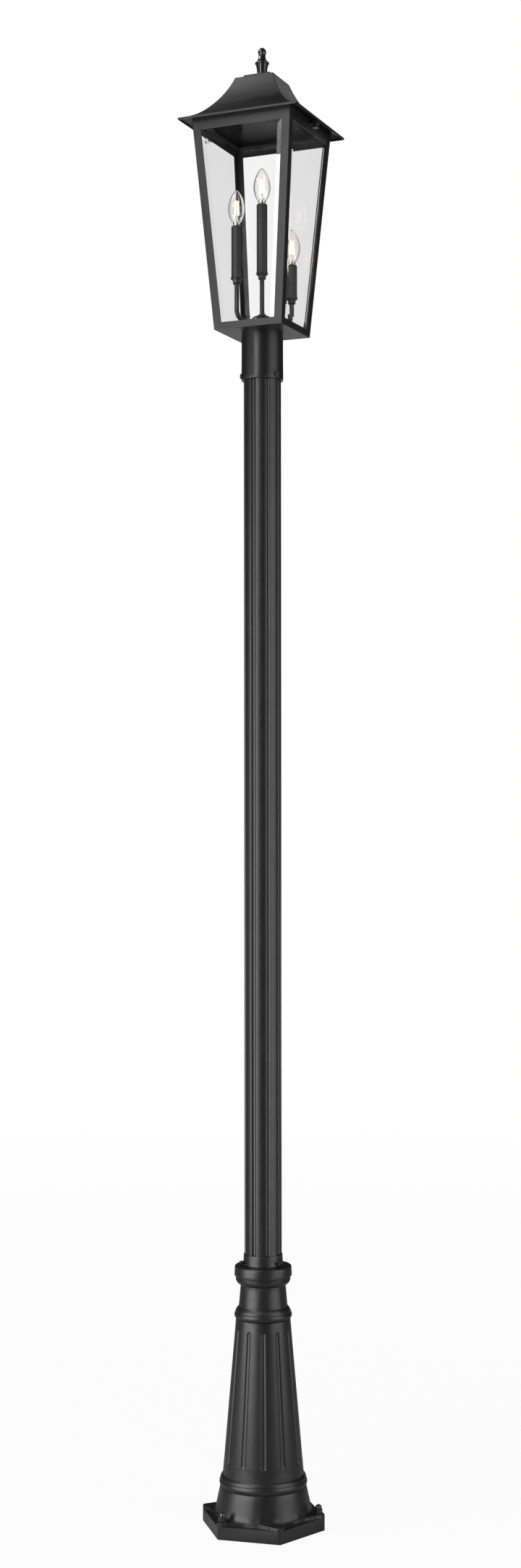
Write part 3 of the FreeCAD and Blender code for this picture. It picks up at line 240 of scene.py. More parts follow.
bm = bmesh.new()
bmesh.ops.create_grid(bm, x_segments=1, y_segments=1, size=FLOOR_HALF)
bmesh.ops.translate(bm, verts=bm.verts, vec=-UP * FLOOR_DROP)
floor = put("floor", mesh_of("floor", bm))

paper, tree, shader = new_finish("white_paper", PAPER_ROUGHNESS)
connect(shader, {"Base Color": (PAPER_TONE, PAPER_TONE, PAPER_TONE, 1)})
spot = add(tree, "TexCoord").outputs["Object"]
reach = add(tree, "VectorMath", {0: spot}, operation="LENGTH")
whiter = add(tree, "MapRange", {"Value": reach.outputs["Value"], "From Min": WHITER_FROM,
                                "From Max": WHITER_TO, "To Min": FLOOR_NEAR})
bare = calculate(tree, "MULTIPLY", seen_directly(tree), whiter.outputs["Result"])
behind = add(tree, "VectorMath", {0: spot, 1: -away}, operation="DOT_PRODUCT")
paler = add(tree, "MapRange", {"Value": behind.outputs["Value"], "From Min": BEHIND_FROM,
                               "From Max": BEHIND_TO, "To Max": FLOOR_BEHIND})
glossy = add(tree, "LightPath").outputs["Is Glossy Ray"]
mirrored = calculate(tree, "MULTIPLY", paler.outputs["Result"], glossy)
share = calculate(tree, "MAXIMUM", bare, mirrored)
show(tree, mix(tree, share, shader, add(tree, "Emission", {"Color": WHITE})))
floor.data.materials.append(paper)
print("floor:", 2 * FLOOR_HALF, "m square")

# %% [markdown]
# ## Tall soft lights
# Dark satin paint shows the lights around it more than its own colour. Each bright band on the tube
# is the mirror image of a tall light, and a surface turned by an angle shows what stands at twice
# that angle. So one tall panel stands on the left and one on the right. Above them hang smaller
# ones that the lantern and its cup show: a bright narrow one near the camera's side and a weak one
# farther round, so that the lantern's front darkens towards its far edge. Two more panels hang over
# the roof, left of it and behind it, for its front and its right face. One big dome light would be
# less work, but it fills every hollow evenly and the grooves vanish.

# %% Lights
LIGHT_DISTANCE = 1.8        # metres from the post to each standing panel
PANELS = {
    # name: (degrees from the camera, width, height, middle height, watts)
    "left_panel": (-56, 1.7, 2.22, 1.13, 61),
    "left_upper_panel": (-75, 1.1, 1.8, 3.15, 3),
    "left_inner_panel": (-34, 0.5, 1.8, 3.15, 18),
    "right_panel": (60, 1.6, 2.6, 1.32, 32.5),
    "right_upper_panel": (62, 1.6, 1.0, 3.12, 6.0),
}
ROOF = Vector((0, 0, 2.9))
OVERHEAD = {
    # name: (to the right of the roof, towards the camera, above the roof, width, height, watts)
    "roof_left_panel": (-1.8, 0.0, 1.75, 1.1, 1.1, 46),
    "roof_back_panel": (1.7, -2.7, 2.3, 1.6, 2.0, 7.0),
}


def soft_light(name, place, facing, width, height, watts):
    """A rectangular light at a place, which faces along a vector."""
    light = bpy.data.lights.new(name, "AREA")
    light.shape = "RECTANGLE"
    light.size = width
    light.size_y = height
    light.energy = watts
    panel = put(name, light)
    panel.location = place
    panel.rotation_euler = facing.to_track_quat("-Z", "Y").to_euler()


for name, (angle, width, height, middle, watts) in PANELS.items():
    a = turn + math.radians(angle)
    side = Vector((math.sin(a), -math.cos(a), 0))
    soft_light(name, side * LIGHT_DISTANCE + UP * middle, -side, width, height, watts)
for name, (right, near, above, width, height, watts) in OVERHEAD.items():
    place = ROOF + to_right * right + away * near + UP * above
    soft_light(name, place, ROOF - place, width, height, watts)
print("lights:", ", ".join([*PANELS, *OVERHEAD]))

# %% [markdown]
# ## How a finish is put together
# Every finish here is a small graph that reads Object coordinates. The frame's pieces all have
# their objects at the origin, so these coordinates are metres on the real post, and a noise with a
# scale of 1000 has grains of about a millimetre. A picture texture could do the same, but it would
# need unwrapping, and it would not follow a change of size.

# %% Helpers for finishes
NOISE_RANGE = (0.3, 0.7)    # nearly all of a noise's values lie between these
RAMP_RANGE = (0.32, 0.68)   # narrower, so that some spots reach the full dark or pale tone


def noise(tree, scale, detail=2.0, stretch=(1, 1, 1)):
    """A noise on Object coordinates. Scale is in grains per metre, stretch squeezes the axes."""
    place = add(tree, "TexCoord").outputs["Object"]
    mapping = add(tree, "Mapping", {"Vector": place, "Scale": stretch}).outputs["Vector"]
    texture = add(tree, "TexNoise", {"Vector": mapping, "Scale": scale, "Detail": detail})
    return texture.outputs["Fac"]


def spread(tree, value, low, high):
    """Turns a noise into a number between low and high."""
    return add(tree, "MapRange", {"Value": value, "From Min": NOISE_RANGE[0],
                                  "From Max": NOISE_RANGE[1], "To Min": low,
                                  "To Max": high}).outputs["Result"]


def two_tone(tree, value, dark, pale):
    """Turns a noise into a colour between two tones."""
    ramp = add(tree, "ValToRGB", {"Fac": value})
    for stop, position, tone in zip(ramp.color_ramp.elements, RAMP_RANGE, (dark, pale)):
        stop.position = position
        stop.color = (*tone, 1)
    return ramp.outputs["Color"]


def rough_skin(tree, value, height):
    """Raises the surface by a noise. Height is in metres."""
    return add(tree, "Bump", {"Height": value, "Distance": height}).outputs["Normal"]


finishes = {}
print("noise from", NOISE_RANGE[0], "to", NOISE_RANGE[1])

# %% [markdown]
# ## Black powder coat
# The base, the tube and the lantern share one paint: a satin black powder baked on, which leaves a
# very fine skin like the peel of an orange. Its colour hardly varies, so it lives from its gloss:
# one noise gives the skin, a broader one lets the gloss wander, and a third moves the black a
# little, as dust and handling do. The castings get a coarser skin than the sheet and the tube.

# %% Black powder coat
POWDER_INDEX = 1.5
POWDER_CLOUDS = 26          # patches of a darker and a paler black in a metre
POWDER_TONES = (0.8, 1.25)  # shares of the tone that these patches reach
POWDER_PATCHES = 60         # patches of more and of less gloss in a metre
POWDER_DRIFT = 0.035        # how far the roughness wanders either way
POWDER_COATS = {
    # name: (grains of the skin in a metre, its height in mm, roughness, tone)
    "base_paint": (420, 0.07, 0.38, (0.0045, 0.0045, 0.0046)),
    "post_paint": (900, 0.03, 0.37, (0.0045, 0.0045, 0.0046)),
    "sheet_paint": (600, 0.03, 0.42, (0.0055, 0.0055, 0.0056)),
    "roof_paint": (420, 0.06, 0.42, (0.0055, 0.0055, 0.0056)),
    "cluster_paint": (1100, 0.02, 0.32, (0.008, 0.0079, 0.0078)),
    "sleeve_black": (1400, 0.015, 0.5, (0.008, 0.0077, 0.0073)),
    "screw_black": (1400, 0.02, 0.30, (0.008, 0.008, 0.0082)),
}


def powder_coat(name, grain, height, gloss, tone):
    material, tree, shader = new_finish(name, gloss)
    dark, pale = [[part * t for t in tone] for part in POWDER_TONES]
    patches = noise(tree, POWDER_PATCHES)
    connect(shader, {
        "IOR": POWDER_INDEX,
        "Base Color": two_tone(tree, noise(tree, POWDER_CLOUDS, detail=3), dark, pale),
        "Roughness": spread(tree, patches, gloss - POWDER_DRIFT, gloss + POWDER_DRIFT),
        "Normal": rough_skin(tree, noise(tree, grain), height * MM),
    })
    return material


for name, coat in POWDER_COATS.items():
    finishes[name] = powder_coat(name, *coat)
print("paints:", len(finishes))

# %% [markdown]
# ## Gloss black
# The finial and the domed nuts are dipped in gloss enamel: the highlight on them is small and
# sharp. The same graph as the powder would do with less roughness, but enamel also flows, so its
# skin is wide and shallow, and a clear coat on top keeps the highlight crisp.

# %% Gloss black
ENAMEL_DARK, ENAMEL_PALE = (0.006, 0.006, 0.0062), (0.012, 0.012, 0.0125)
ENAMEL_CLOUDS, ENAMEL_PATCHES, ENAMEL_WAVES = 90, 140, 300      # in a metre
ENAMEL_DRIFT = 0.04
ENAMEL_SKIN = 0.03 * MM
CLEAR_COAT, CLEAR_COAT_GLOSS = 0.6, 0.08    # how much of it there is, and its roughness


def gloss_black(name, gloss):
    material, tree, shader = new_finish(name, gloss)
    patches = noise(tree, ENAMEL_PATCHES)
    connect(shader, {
        "Coat Weight": CLEAR_COAT,
        "Coat Roughness": CLEAR_COAT_GLOSS,
        "Base Color": two_tone(tree, noise(tree, ENAMEL_CLOUDS), ENAMEL_DARK, ENAMEL_PALE),
        "Roughness": spread(tree, patches, gloss - ENAMEL_DRIFT, gloss + ENAMEL_DRIFT),
        "Normal": rough_skin(tree, noise(tree, ENAMEL_WAVES, detail=1), ENAMEL_SKIN),
    })
    return material


for name, gloss in {"finial_gloss": 0.22, "anchor_gloss": 0.16}.items():
    finishes[name] = gloss_black(name, gloss)
print("finishes so far:", len(finishes))

# %% [markdown]
# ## Plated steel and bright lamp metal
# The hidden stud and nuts are zinc plated, and the lamps' caps are pressed from bright metal. Both
# are metals with fine scratches. The scratches are a noise squeezed along one axis, which costs
# less than drawing lines and never repeats.

# %% Metals
METAL_CLOUDS = 240
METAL_SMOOTHER, METAL_ROUGHER = 0.07, 0.1   # how far a scratched spot's roughness goes either way
SCRATCH_SHINE, SCRATCH_SKIN = (1, 1, 6), (1, 1, 8)  # how flat the scratches lie
SCRATCH_DEPTH = 0.01 * MM
METALS = {
    # name: (dark tone, pale tone, roughness, scratches in a metre)
    "plated_steel": ((0.5, 0.5, 0.48), (0.68, 0.68, 0.66), 0.34, 700),
    "lamp_metal": ((0.62, 0.6, 0.56), (0.82, 0.8, 0.76), 0.2, 500),
}


def bright_metal(name, dark, pale, gloss, grain):
    material, tree, shader = new_finish(name, gloss, metallic=1.0)
    shine = noise(tree, grain, stretch=SCRATCH_SHINE)
    connect(shader, {
        "Base Color": two_tone(tree, noise(tree, METAL_CLOUDS, detail=3), dark, pale),
        "Roughness": spread(tree, shine, gloss - METAL_SMOOTHER, gloss + METAL_ROUGHER),
        "Normal": rough_skin(tree, noise(tree, grain, stretch=SCRATCH_SKIN), SCRATCH_DEPTH),
    })
    return material


for name, metal in METALS.items():
    finishes[name] = bright_metal(name, *metal)
print("metals:", ", ".join(METALS))

# %% [markdown]
# ## Lampholder
# The lampholders are moulded in cream plastic. Nearly all of them is hidden in the sleeves, so a
# plain moulded skin is enough.

# %% Lampholder
CREAM_DARK, CREAM_PALE = (0.66, 0.62, 0.52), (0.74, 0.7, 0.6)
CREAM_CLOUDS, CREAM_GRAIN = 120, 800        # in a metre
CREAM_SKIN = 0.02 * MM
CREAM_GLOSS = 0.4

material, tree, shader = new_finish("socket_plastic", CREAM_GLOSS)
connect(shader, {
    "Base Color": two_tone(tree, noise(tree, CREAM_CLOUDS), CREAM_DARK, CREAM_PALE),
    "Normal": rough_skin(tree, noise(tree, CREAM_GRAIN), CREAM_SKIN),
})
finishes["socket_plastic"] = material
print("finishes so far:", len(finishes))

# %% [markdown]
# ## Clear plate glass
# Each pane is clear plate with a wide ground bevel. The plate is a solid in the frame, so a glass
# shader bends the view at the bevel as real glass does. Real plate has an index of 1.52 and dims
# what is seen through it at a slant. The picture's panes hardly dim, so ours have a lower index,
# which costs a little of the bend. The colour is nearly white, and a very shallow wide noise keeps
# the reflections from being perfectly flat. Shadow rays go straight through, because light that
# passes a flat pane arrives almost unchanged.

# %% Clear plate glass
GLASS_CLOUDS = 9            # in a metre
GLASS_DARK = 0.992          # share of the tint that the darker clouds keep
GLASS_SHADOW = (0.93, 0.93, 0.93, 1)    # how much light is left behind the glass
GLASSES = {
    # name: (tint, index, waves in a metre, their height in mm)
    "pane_glass": ((1.0, 0.998, 1.0), 1.38, 7, 0.02),
    "lamp_glass": ((0.995, 0.992, 0.985), 1.47, 60, 0.01),
}


def clear_glass(name, tint, index, waves, height):
    material, tree, shader = new_finish(name, 0.0)
    dark = [GLASS_DARK * t for t in tint]
    connect(shader, {
        "Transmission Weight": 1.0,
        "IOR": index,
        "Base Color": two_tone(tree, noise(tree, GLASS_CLOUDS), dark, tint),
        "Normal": rough_skin(tree, noise(tree, waves, detail=1), height * MM),
    })
    clear = add(tree, "BsdfTransparent", {"Color": GLASS_SHADOW})
    shadow = add(tree, "LightPath").outputs["Is Shadow Ray"]
    show(tree, mix(tree, shadow, shader, clear))
    return material


for name, glass in GLASSES.items():
    finishes[name] = clear_glass(name, *glass)
print("glasses:", ", ".join(GLASSES))

# %% [markdown]
# ## Glowing sticks
# The lamps burn: in each glass stand amber sticks, brighter than white. The studio is bright, so
# the glow has to show as colour and doesn't light the room. The middle of a stick burns out to
# white, and its edges keep the amber.

# %% Glowing sticks
STICK_GLOW = 2.5
STICK_GRAIN = 400           # in a metre
STICK_GLOSS = 0.5
AMBER_DARK, AMBER_PALE = (1.0, 0.55, 0.32), (1.0, 0.66, 0.42)

material, tree, shader = new_finish("filament", STICK_GLOSS)
amber = two_tone(tree, noise(tree, STICK_GRAIN), AMBER_DARK, AMBER_PALE)
connect(shader, {"Base Color": amber, "Emission Color": amber, "Emission Strength": STICK_GLOW})
finishes["filament"] = material
print("finishes:", len(finishes))

# %% [markdown]
# ## Finishes on the frame's pieces
# The frame's record says for each piece which finish it wears. We put that finish into the piece's
# material slot and leave its mesh alone. Copying every piece would also work, but a piece that is
# right as it stands needs no copy.

# %% Dress the frame
slots = {part["node"]: part["material_slot"] for part in frame["record"]["subparts"]}

for name, node in nodes.items():
    node.data.materials.clear()
    node.data.materials.append(finishes[slots[name]])
print("dressed", len(nodes), "pieces")

# %% [markdown]
# ## Rounded edges on the frame's pieces
# The frame's meshes have hard corners, while cast, folded and painted metal always has a small
# radius that catches the light. We take a copy of such a piece, merge its loose triangles, shade it
# smooth and put a narrow bevel on every edge sharper than a set angle. The copy stands in for the
# frame's piece, in the same place and with the same shape.

# %% Soft-edged copies
SHARP = math.radians(28)
SAME_PLACE = 0.002 * MM     # corners of loose triangles that lie closer than this are one corner


def merged_copy(node):
    """A bmesh of one of the frame's pieces, with its loose triangles merged."""
    bm = bmesh.new()
    bm.from_mesh(nodes[node].data)
    bmesh.ops.remove_doubles(bm, verts=bm.verts, dist=SAME_PLACE)
    return bm


def stand_in(name, bm, node, slot=None, sharp=SHARP):
    """Turns a bmesh into a smooth piece that takes a node's place, body and finish."""
    slot = slot or slots[node]
    mesh = mesh_of(name, bm)
    mesh.shade_smooth()
    mesh.set_sharp_from_angle(angle=sharp)
    mesh.materials.append(finishes[slot])
    piece = put(name, mesh)
    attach(piece, nodes[node]["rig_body"])
    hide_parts(node)
    return piece


def round_edges(piece, width, segments):
    """Bevels the sharp edges of a piece."""
    bevel = piece.modifiers.new("edge", "BEVEL")
    bevel.width = width
    bevel.segments = segments
    bevel.limit_method = "ANGLE"
    bevel.angle_limit = SHARP
    bevel.harden_normals = True


def soft_copy(node, width, change=None):
    """A smooth copy of a node with rounded edges. Change is a function that alters its bmesh."""
    bm = merged_copy(node)
    if change:
        change(bm)
    piece = stand_in(node + "_soft", bm, node)
    if width:
        round_edges(piece, width, segments=2)


print("edges sharper than", round(math.degrees(SHARP)), "degrees get a bevel")

# %% [markdown]
# ## How wide each edge is
# A casting is rounded by its sand mould, sheet by the press that folds it, and a turned piece
# hardly at all. So each piece gets a width of its own. The rods and arms have no edges in view and
# are only shaded smooth. One width for all would be quicker, but it would swallow the small pieces'
# shapes.

# %% Apply the soft edges
SOFT_EDGES = {
    # node: bevel width in mm
    "base_collar": 0.7, "post_fitter": 0.5, "top_frame": 0.3, "corner_post_front": 0.3,
    "corner_post_right": 0.3, "corner_post_back": 0.3, "corner_post_left": 0.3, "roof_shell": 0.9,
    "roof_cap": 0.6, "anchor_washers": 0.3, "lamp_hub": 0.2, "rod_nut": 0.25,
    "candle_cup_centre": 0.15, "candle_cup_left": 0.15, "candle_cup_right": 0.15,
    "collar_set_screws": 0.2, "fitter_set_screws": 0.2, "candle_sleeve_centre": 0.2,
    "candle_sleeve_left": 0.2, "candle_sleeve_right": 0.2, "lamp_arm_left": 0.0,
    "lamp_arm_right": 0.0, "centre_rod": 0.0, "bottom_plate": 0.3, "roof_ring": 0.2,
}
for node, width in SOFT_EDGES.items():
    soft_copy(node, width * MM)
print("soft edges on", len(SOFT_EDGES), "pieces")

# %% [markdown]
# ## A lower lip
# The lip of the lantern's lower rail shows about 3 mm lower in the picture than in the frame. The
# lantern's sides lean outwards as they rise, so the lip's corners move inwards while they come
# down, and it stays in line with the sides. Scaling the whole rail would be one step less, but it
# would also thin the rail.

# %% Lower lip
LIP_DROP = 3.3 * MM
LIP_LEAN = 0.079            # how far the lantern's sides lean out for each unit of height
LIP_LEVEL = 0.1 * MM        # corners this close to the top belong to the lip
RAIL_EDGE = 0.3 * MM


def lower_lip(bm):
    top = max(v.co.z for v in bm.verts)
    for v in bm.verts:
        if v.co.z > top - LIP_LEVEL:
            v.co.x -= math.copysign(LIP_DROP * LIP_LEAN, v.co.x)
            v.co.y -= math.copysign(LIP_DROP * LIP_LEAN, v.co.y)
            v.co.z -= LIP_DROP


soft_copy("bottom_frame", RAIL_EDGE, change=lower_lip)
print("lip lowered by", round(LIP_DROP / MM, 1), "mm")

# %% [markdown]
# ## Turned pieces from a few points
# Finial, nuts and lamps are turned on a lathe, forged or blown in a round mould, so each is an
# outline spun about an upright axis. The outline needs only the points where the shape changes: a
# smooth curve runs through them, and the spin does the rest. A subdivided cylinder could be pushed
# into these shapes too, but its rings would have to be moved one by one.

# %% Helpers for outlines
HALF_TURN, QUARTER_TURN = math.pi, math.pi / 2
SEAM = 0.001 * MM           # the spin's first and last points lie closer than this


def evenly(start, stop, steps):
    """The numbers that divide the way from start to stop into equal steps, both ends included."""
    return [start + (stop - start) * i / steps for i in range(steps + 1)]


def smooth_outline(points, steps=6):
    """The smooth curve through a few (radius, height) points."""
    ends = [points[0], *points, points[-1]]
    path = []
    for before, start, stop, after in zip(ends, ends[1:], ends[2:], ends[3:]):
        for t in evenly(0, 1, steps)[:-1]:
            path.append(tuple(
                0.5 * (2 * q + (r - p) * t + (2 * p - 5 * q + 4 * r - s) * t * t
                       + (3 * q - p - 3 * r + s) * t ** 3)
                for p, q, r, s in zip(before, start, stop, after)))
    path.append(points[-1])
    return [(max(r, 0.0), z) for r, z in path]


def scaled(points, unit):
    """An outline's points in metres, from any other unit."""
    return [(r * unit, z * unit) for r, z in points]


def spin_outline(bm, outline, segments):
    """Spins (radius, height) points, in metres, one full turn about the Z axis."""
    verts = [bm.verts.new((r, 0, z)) for r, z in outline]
    edges = [bm.edges.new(pair) for pair in zip(verts, verts[1:])]
    bmesh.ops.spin(bm, geom=verts + edges, cent=(0, 0, 0), axis=UP, angle=math.tau,
                   steps=segments, use_merge=True)
    bmesh.ops.remove_doubles(bm, verts=bm.verts, dist=SEAM)


print("helpers: evenly, smooth_outline, scaled, spin_outline")

# %% [markdown]
# ## A new piece for a node
# A piece that is made anew stands for one of the frame's nodes and takes over its body and finish.
# Where a node holds several equal pieces, such as the nuts, the bmesh is copied to each place. The
# normals are recalculated while there is still one copy, because a spin can leave a shape inside
# out. Linked objects would save memory, but the copies have to be one piece, as the node is.

# %% Helpers for new pieces
ORIGIN = Vector((0, 0, 0))


def verts_of(geometry):
    return [part for part in geometry if isinstance(part, bmesh.types.BMVert)]


def finished(name, bm, node, places=(ORIGIN,), slot=None, sharp=SHARP):
    """Makes a piece of one or more copies of a bmesh, which stands for a node of the frame."""
    bmesh.ops.recalc_face_normals(bm, faces=bm.faces)
    single = list(bm.verts) + list(bm.edges) + list(bm.faces)
    for place in places[1:]:
        copy = bmesh.ops.duplicate(bm, geom=single)["geom"]
        bmesh.ops.translate(bm, verts=verts_of(copy), vec=place)
    bmesh.ops.translate(bm, verts=verts_of(single), vec=places[0])
    piece = stand_in(name, bm, node, slot, sharp)
    print(name, len(piece.data.polygons), "faces")
    return piece


def middle_of(node):
    """The middle of a node's foot, its height and its half width."""
    low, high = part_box(node)
    foot = Vector(((low.x + high.x) / 2, (low.y + high.y) / 2, low.z))
    return foot, high.z - low.z, (high.x - low.x) / 2


print("helpers: finished, middle_of")

# %% [markdown]
# ## A skin over rings of points
# The shaft of the base and the grooved tube aren't round, so they can't be spun. Both are made by
# extruding: a ring of points is drawn and joined by edges, the edges are extruded, and the new
# points move to where the next ring lies. Lofting between curves would also work, but then the
# number of points along a groove's lip could not be chosen.

# %% Extrude through rings
SAME_SPOT = 0.005 * MM      # points of the rings that lie closer than this are merged


def extrude_through(bm, rings):
    """Draws the first ring of points and extrudes it through the other rings in turn."""
    ring = [bm.verts.new(point) for point in rings[0]]
    edges = [bm.edges.new(pair) for pair in zip(ring, ring[1:] + ring[:1])]
    for points in rings[1:]:
        made = bmesh.ops.extrude_edge_only(bm, edges=edges)["geom"]
        new = set(verts_of(made))
        ring = [next(edge.other_vert(vert) for edge in vert.link_edges
                     if edge.other_vert(vert) in new) for vert in ring]
        edges = [part for part in made
                 if isinstance(part, bmesh.types.BMEdge) and new.issuperset(part.verts)]
        for vert, point in zip(ring, points):
            vert.co = point
    bmesh.ops.remove_doubles(bm, verts=bm.verts, dist=SAME_SPOT)


print("helper: extrude_through")

# %% [markdown]
# ## Tapered shaft with flutes
# The shaft of the base is a cone with twelve shallow flutes, each round at the bottom and at both
# ends, as a ball cutter leaves them. Long hollows like these show every uneven face in their
# highlight. So we keep the frame's casting for the plate and the mouldings and lay the shaft anew:
# its columns of points follow the flutes' lips, and its rings crowd together where the flutes end.

# %% Measures of the shaft
SHAFT_LOW, SHAFT_HIGH = 108.5 * MM, 423.5 * MM
SHAFT_LOW_R, SHAFT_HIGH_R = 82.7 * MM, 55.7 * MM
FLUTES = 12
FLUTE_TURN = math.radians(23.6)
FLUTE_DEPTH = 1.9 * MM
FLUTE_LOW, FLUTE_LOW_W = 139.4 * MM, 11.8 * MM   # where the round end starts, and the width there
FLUTE_HIGH, FLUTE_HIGH_W = 401.4 * MM, 9.2 * MM
PLAIN_LOW, PLAIN_HIGH = 12 * MM, 8 * MM      # how far a ring stands from each end of the shaft
FLUTE_EDGE = 0.45 * MM
HAIR = 1e-7                 # rounding errors stay below this
FLUTE_STEPS = 16            # faces across one flute
LAND_STEPS = 5              # faces across the land between two flutes
END_STEPS = 9               # rings of faces in each round end
SIDE_STEPS = 6              # rings of faces between the ends


def between(z, low, at_low, high, at_high):
    """A value that changes evenly from one height to another."""
    return at_low + (at_high - at_low) * (z - low) / (high - low)


def shaft_radius(z):
    return between(z, SHAFT_LOW, SHAFT_LOW_R, SHAFT_HIGH, SHAFT_HIGH_R)


levels = [SHAFT_LOW, SHAFT_LOW + PLAIN_LOW]
levels += [FLUTE_LOW - FLUTE_LOW_W / 2 * math.cos(a) for a in evenly(0, QUARTER_TURN, END_STEPS)]
levels += evenly(FLUTE_LOW, FLUTE_HIGH, SIDE_STEPS)[1:-1]
levels += [FLUTE_HIGH + FLUTE_HIGH_W / 2 * math.sin(a) for a in evenly(0, QUARTER_TURN, END_STEPS)]
levels += [SHAFT_HIGH - PLAIN_HIGH, SHAFT_HIGH]
print("rings on the shaft:", len(levels))

# %% [markdown]
# ## One ring of the shaft
# Across a flute the section is part of a circle, the cutter's ball. In a round end the ball's
# middle stays behind, so the circle shrinks until the lips meet. A boolean cut with twelve long
# balls would be easier to write, but it leaves faces of uneven size along the lips.

# %% Shaft
def shaft_ring(z):
    """The points of one level: each flute from lip to lip, and then the land after it."""
    along = min(max(z, FLUTE_LOW), FLUTE_HIGH)
    past = abs(z - along)
    half = between(along, FLUTE_LOW, FLUTE_LOW_W, FLUTE_HIGH, FLUTE_HIGH_W) / 2
    ball = (half ** 2 + FLUTE_DEPTH ** 2) / (2 * FLUTE_DEPTH)
    in_flute = past <= half + HAIR
    reach = math.sqrt(max(half ** 2 - past ** 2, 0.0)) if in_flute else half
    radius = shaft_radius(z)
    lip = math.asin(reach / radius)
    ring = []
    for middle in evenly(FLUTE_TURN, FLUTE_TURN + math.tau, FLUTES)[:-1]:
        for y in (-reach * math.cos(a) for a in evenly(0, HALF_TURN, FLUTE_STEPS)):
            r, a = radius, middle + math.asin(y / radius)
            if in_flute:
                deep = math.sqrt(max(ball ** 2 - y ** 2 - past ** 2, 0.0)) - (ball - FLUTE_DEPTH)
                r -= max(deep, 0.0)
            ring.append((r * math.cos(a), r * math.sin(a), z))
        next_lip = middle + math.tau / FLUTES - lip
        ring += [(radius * math.cos(a), radius * math.sin(a), z)
                 for a in evenly(middle + lip, next_lip, LAND_STEPS)[1:-1]]
    return ring


bm = bmesh.new()
extrude_through(bm, [shaft_ring(z) for z in levels])
shaft = finished("fluted_shaft", bm, "base_casting")
round_edges(shaft, FLUTE_EDGE, segments=3)

# %% [markdown]
# ## The rest of the casting
# The plate, the mouldings and the inside of the base come from the frame. We only take out the
# faces of the old shaft, which the new one covers. They are found by their place: between the
# shaft's two ends, and farther out than the flutes' floor.

# %% Cast base
OLD_SHAFT_DEPTH = 2.8 * MM  # the old shaft's faces lie no deeper than this
CASTING_EDGE = 0.6 * MM


def take_out_shaft(bm):
    gone = []
    for face in bm.faces:
        place = face.calc_center_median()
        outside = place.xy.length > shaft_radius(place.z) - OLD_SHAFT_DEPTH
        if SHAFT_LOW < place.z < SHAFT_HIGH and outside:
            gone.append(face)
    bmesh.ops.delete(bm, geom=gone, context="FACES")
    print("old shaft:", len(gone), "faces taken out")


soft_copy("base_casting", CASTING_EDGE, change=take_out_shaft)

# %% [markdown]
# ## Grooved tube
# The tube is extruded aluminium with eight round-bottomed grooves, and its dark and bright lines
# are the grooves' two lips and floor, so the section has to be exact. We draw the section as one
# closed outline: an arc of the tube, a small round at the lip, the groove's own arc, and so on
# round. Cutting eight cylinders out of a tube would give the same shape, with far more faces where
# they meet.

# %% Section of the tube
GROOVES = 8
GROOVE_TURN = math.radians(38.7)     # where the first groove's middle lies, seen from above
GROOVE_WIDTH = 10.6 * MM
GROOVE_WALL = math.radians(62)       # how steep the groove's wall is at the lip
LIP_ROUND = 0.45 * MM
LIP_POINTS = (0.33, 0.66)            # where along the round its two middle points lie
TUBE_WALL = 4.6 * MM
WALL_STEPS, ARC_STEPS = 7, 5         # faces on half a groove and on half the arc between two


def groove_section(radius):
    """One eighth of the section as (x, y) points, with the groove's middle on the x axis."""
    arc = GROOVE_WIDTH / 2 / math.sin(GROOVE_WALL)
    lip_x = math.sqrt(radius ** 2 - (GROOVE_WIDTH / 2) ** 2)
    middle = lip_x + arc * math.cos(GROOVE_WALL)
    reach = GROOVE_WALL - LIP_ROUND / arc
    half = [(middle - arc * math.cos(a), arc * math.sin(a)) for a in evenly(0, reach, WALL_STEPS)]
    lip_turn = math.asin(GROOVE_WIDTH / 2 / radius) + LIP_ROUND / radius
    last = Vector(half[-1])
    first = Vector((radius * math.cos(lip_turn), radius * math.sin(lip_turn)))
    corner = Vector((lip_x, GROOVE_WIDTH / 2))
    for t in LIP_POINTS:
        half.append(tuple(last * (1 - t) ** 2 + corner * 2 * t * (1 - t) + first * t * t))
    half += [(radius * math.cos(a), radius * math.sin(a))
             for a in evenly(lip_turn, HALF_TURN / GROOVES, ARC_STEPS)]
    return [(x, -y) for x, y in half[:0:-1]] + half[:-1]


print("points on an eighth of the section:", len(groove_section(1)))

# %% [markdown]
# ## Tube with its wall
# The outline goes round eight times over, once for each groove, and the bore is the same ring drawn
# in to a circle. Extruded up the outside, over the rim, down the bore and back to the start, it is
# a closed tube with a wall.

# %% Grooved tube
low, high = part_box("fluted_post")
radius = (high.x - low.x) / 2
outer = []
for angle in evenly(GROOVE_TURN, GROOVE_TURN + math.tau, GROOVES)[:-1]:
    spin = Matrix.Rotation(angle, 2)
    outer += [spin @ Vector(point) for point in groove_section(radius)]
inner = [point.normalized() * (radius - TUBE_WALL) for point in outer]
way_round = ((outer, low.z), (outer, high.z), (inner, high.z), (inner, low.z), (outer, low.z))
bm = bmesh.new()
extrude_through(bm, [[(*point, z) for point in ring] for ring, z in way_round])
finished("fluted_post_drawn", bm, "fluted_post")

# %% [markdown]
# ## Finial
# The finial is turned from bar: a flared foot, a stem that swells to a flange with a sharp lip, a
# waist, a thin ring and a ball. The swelling parts are smooth, while the lips beside them are
# crisp, so the outline is made of smooth runs that meet at corners, with an arc for the ball.

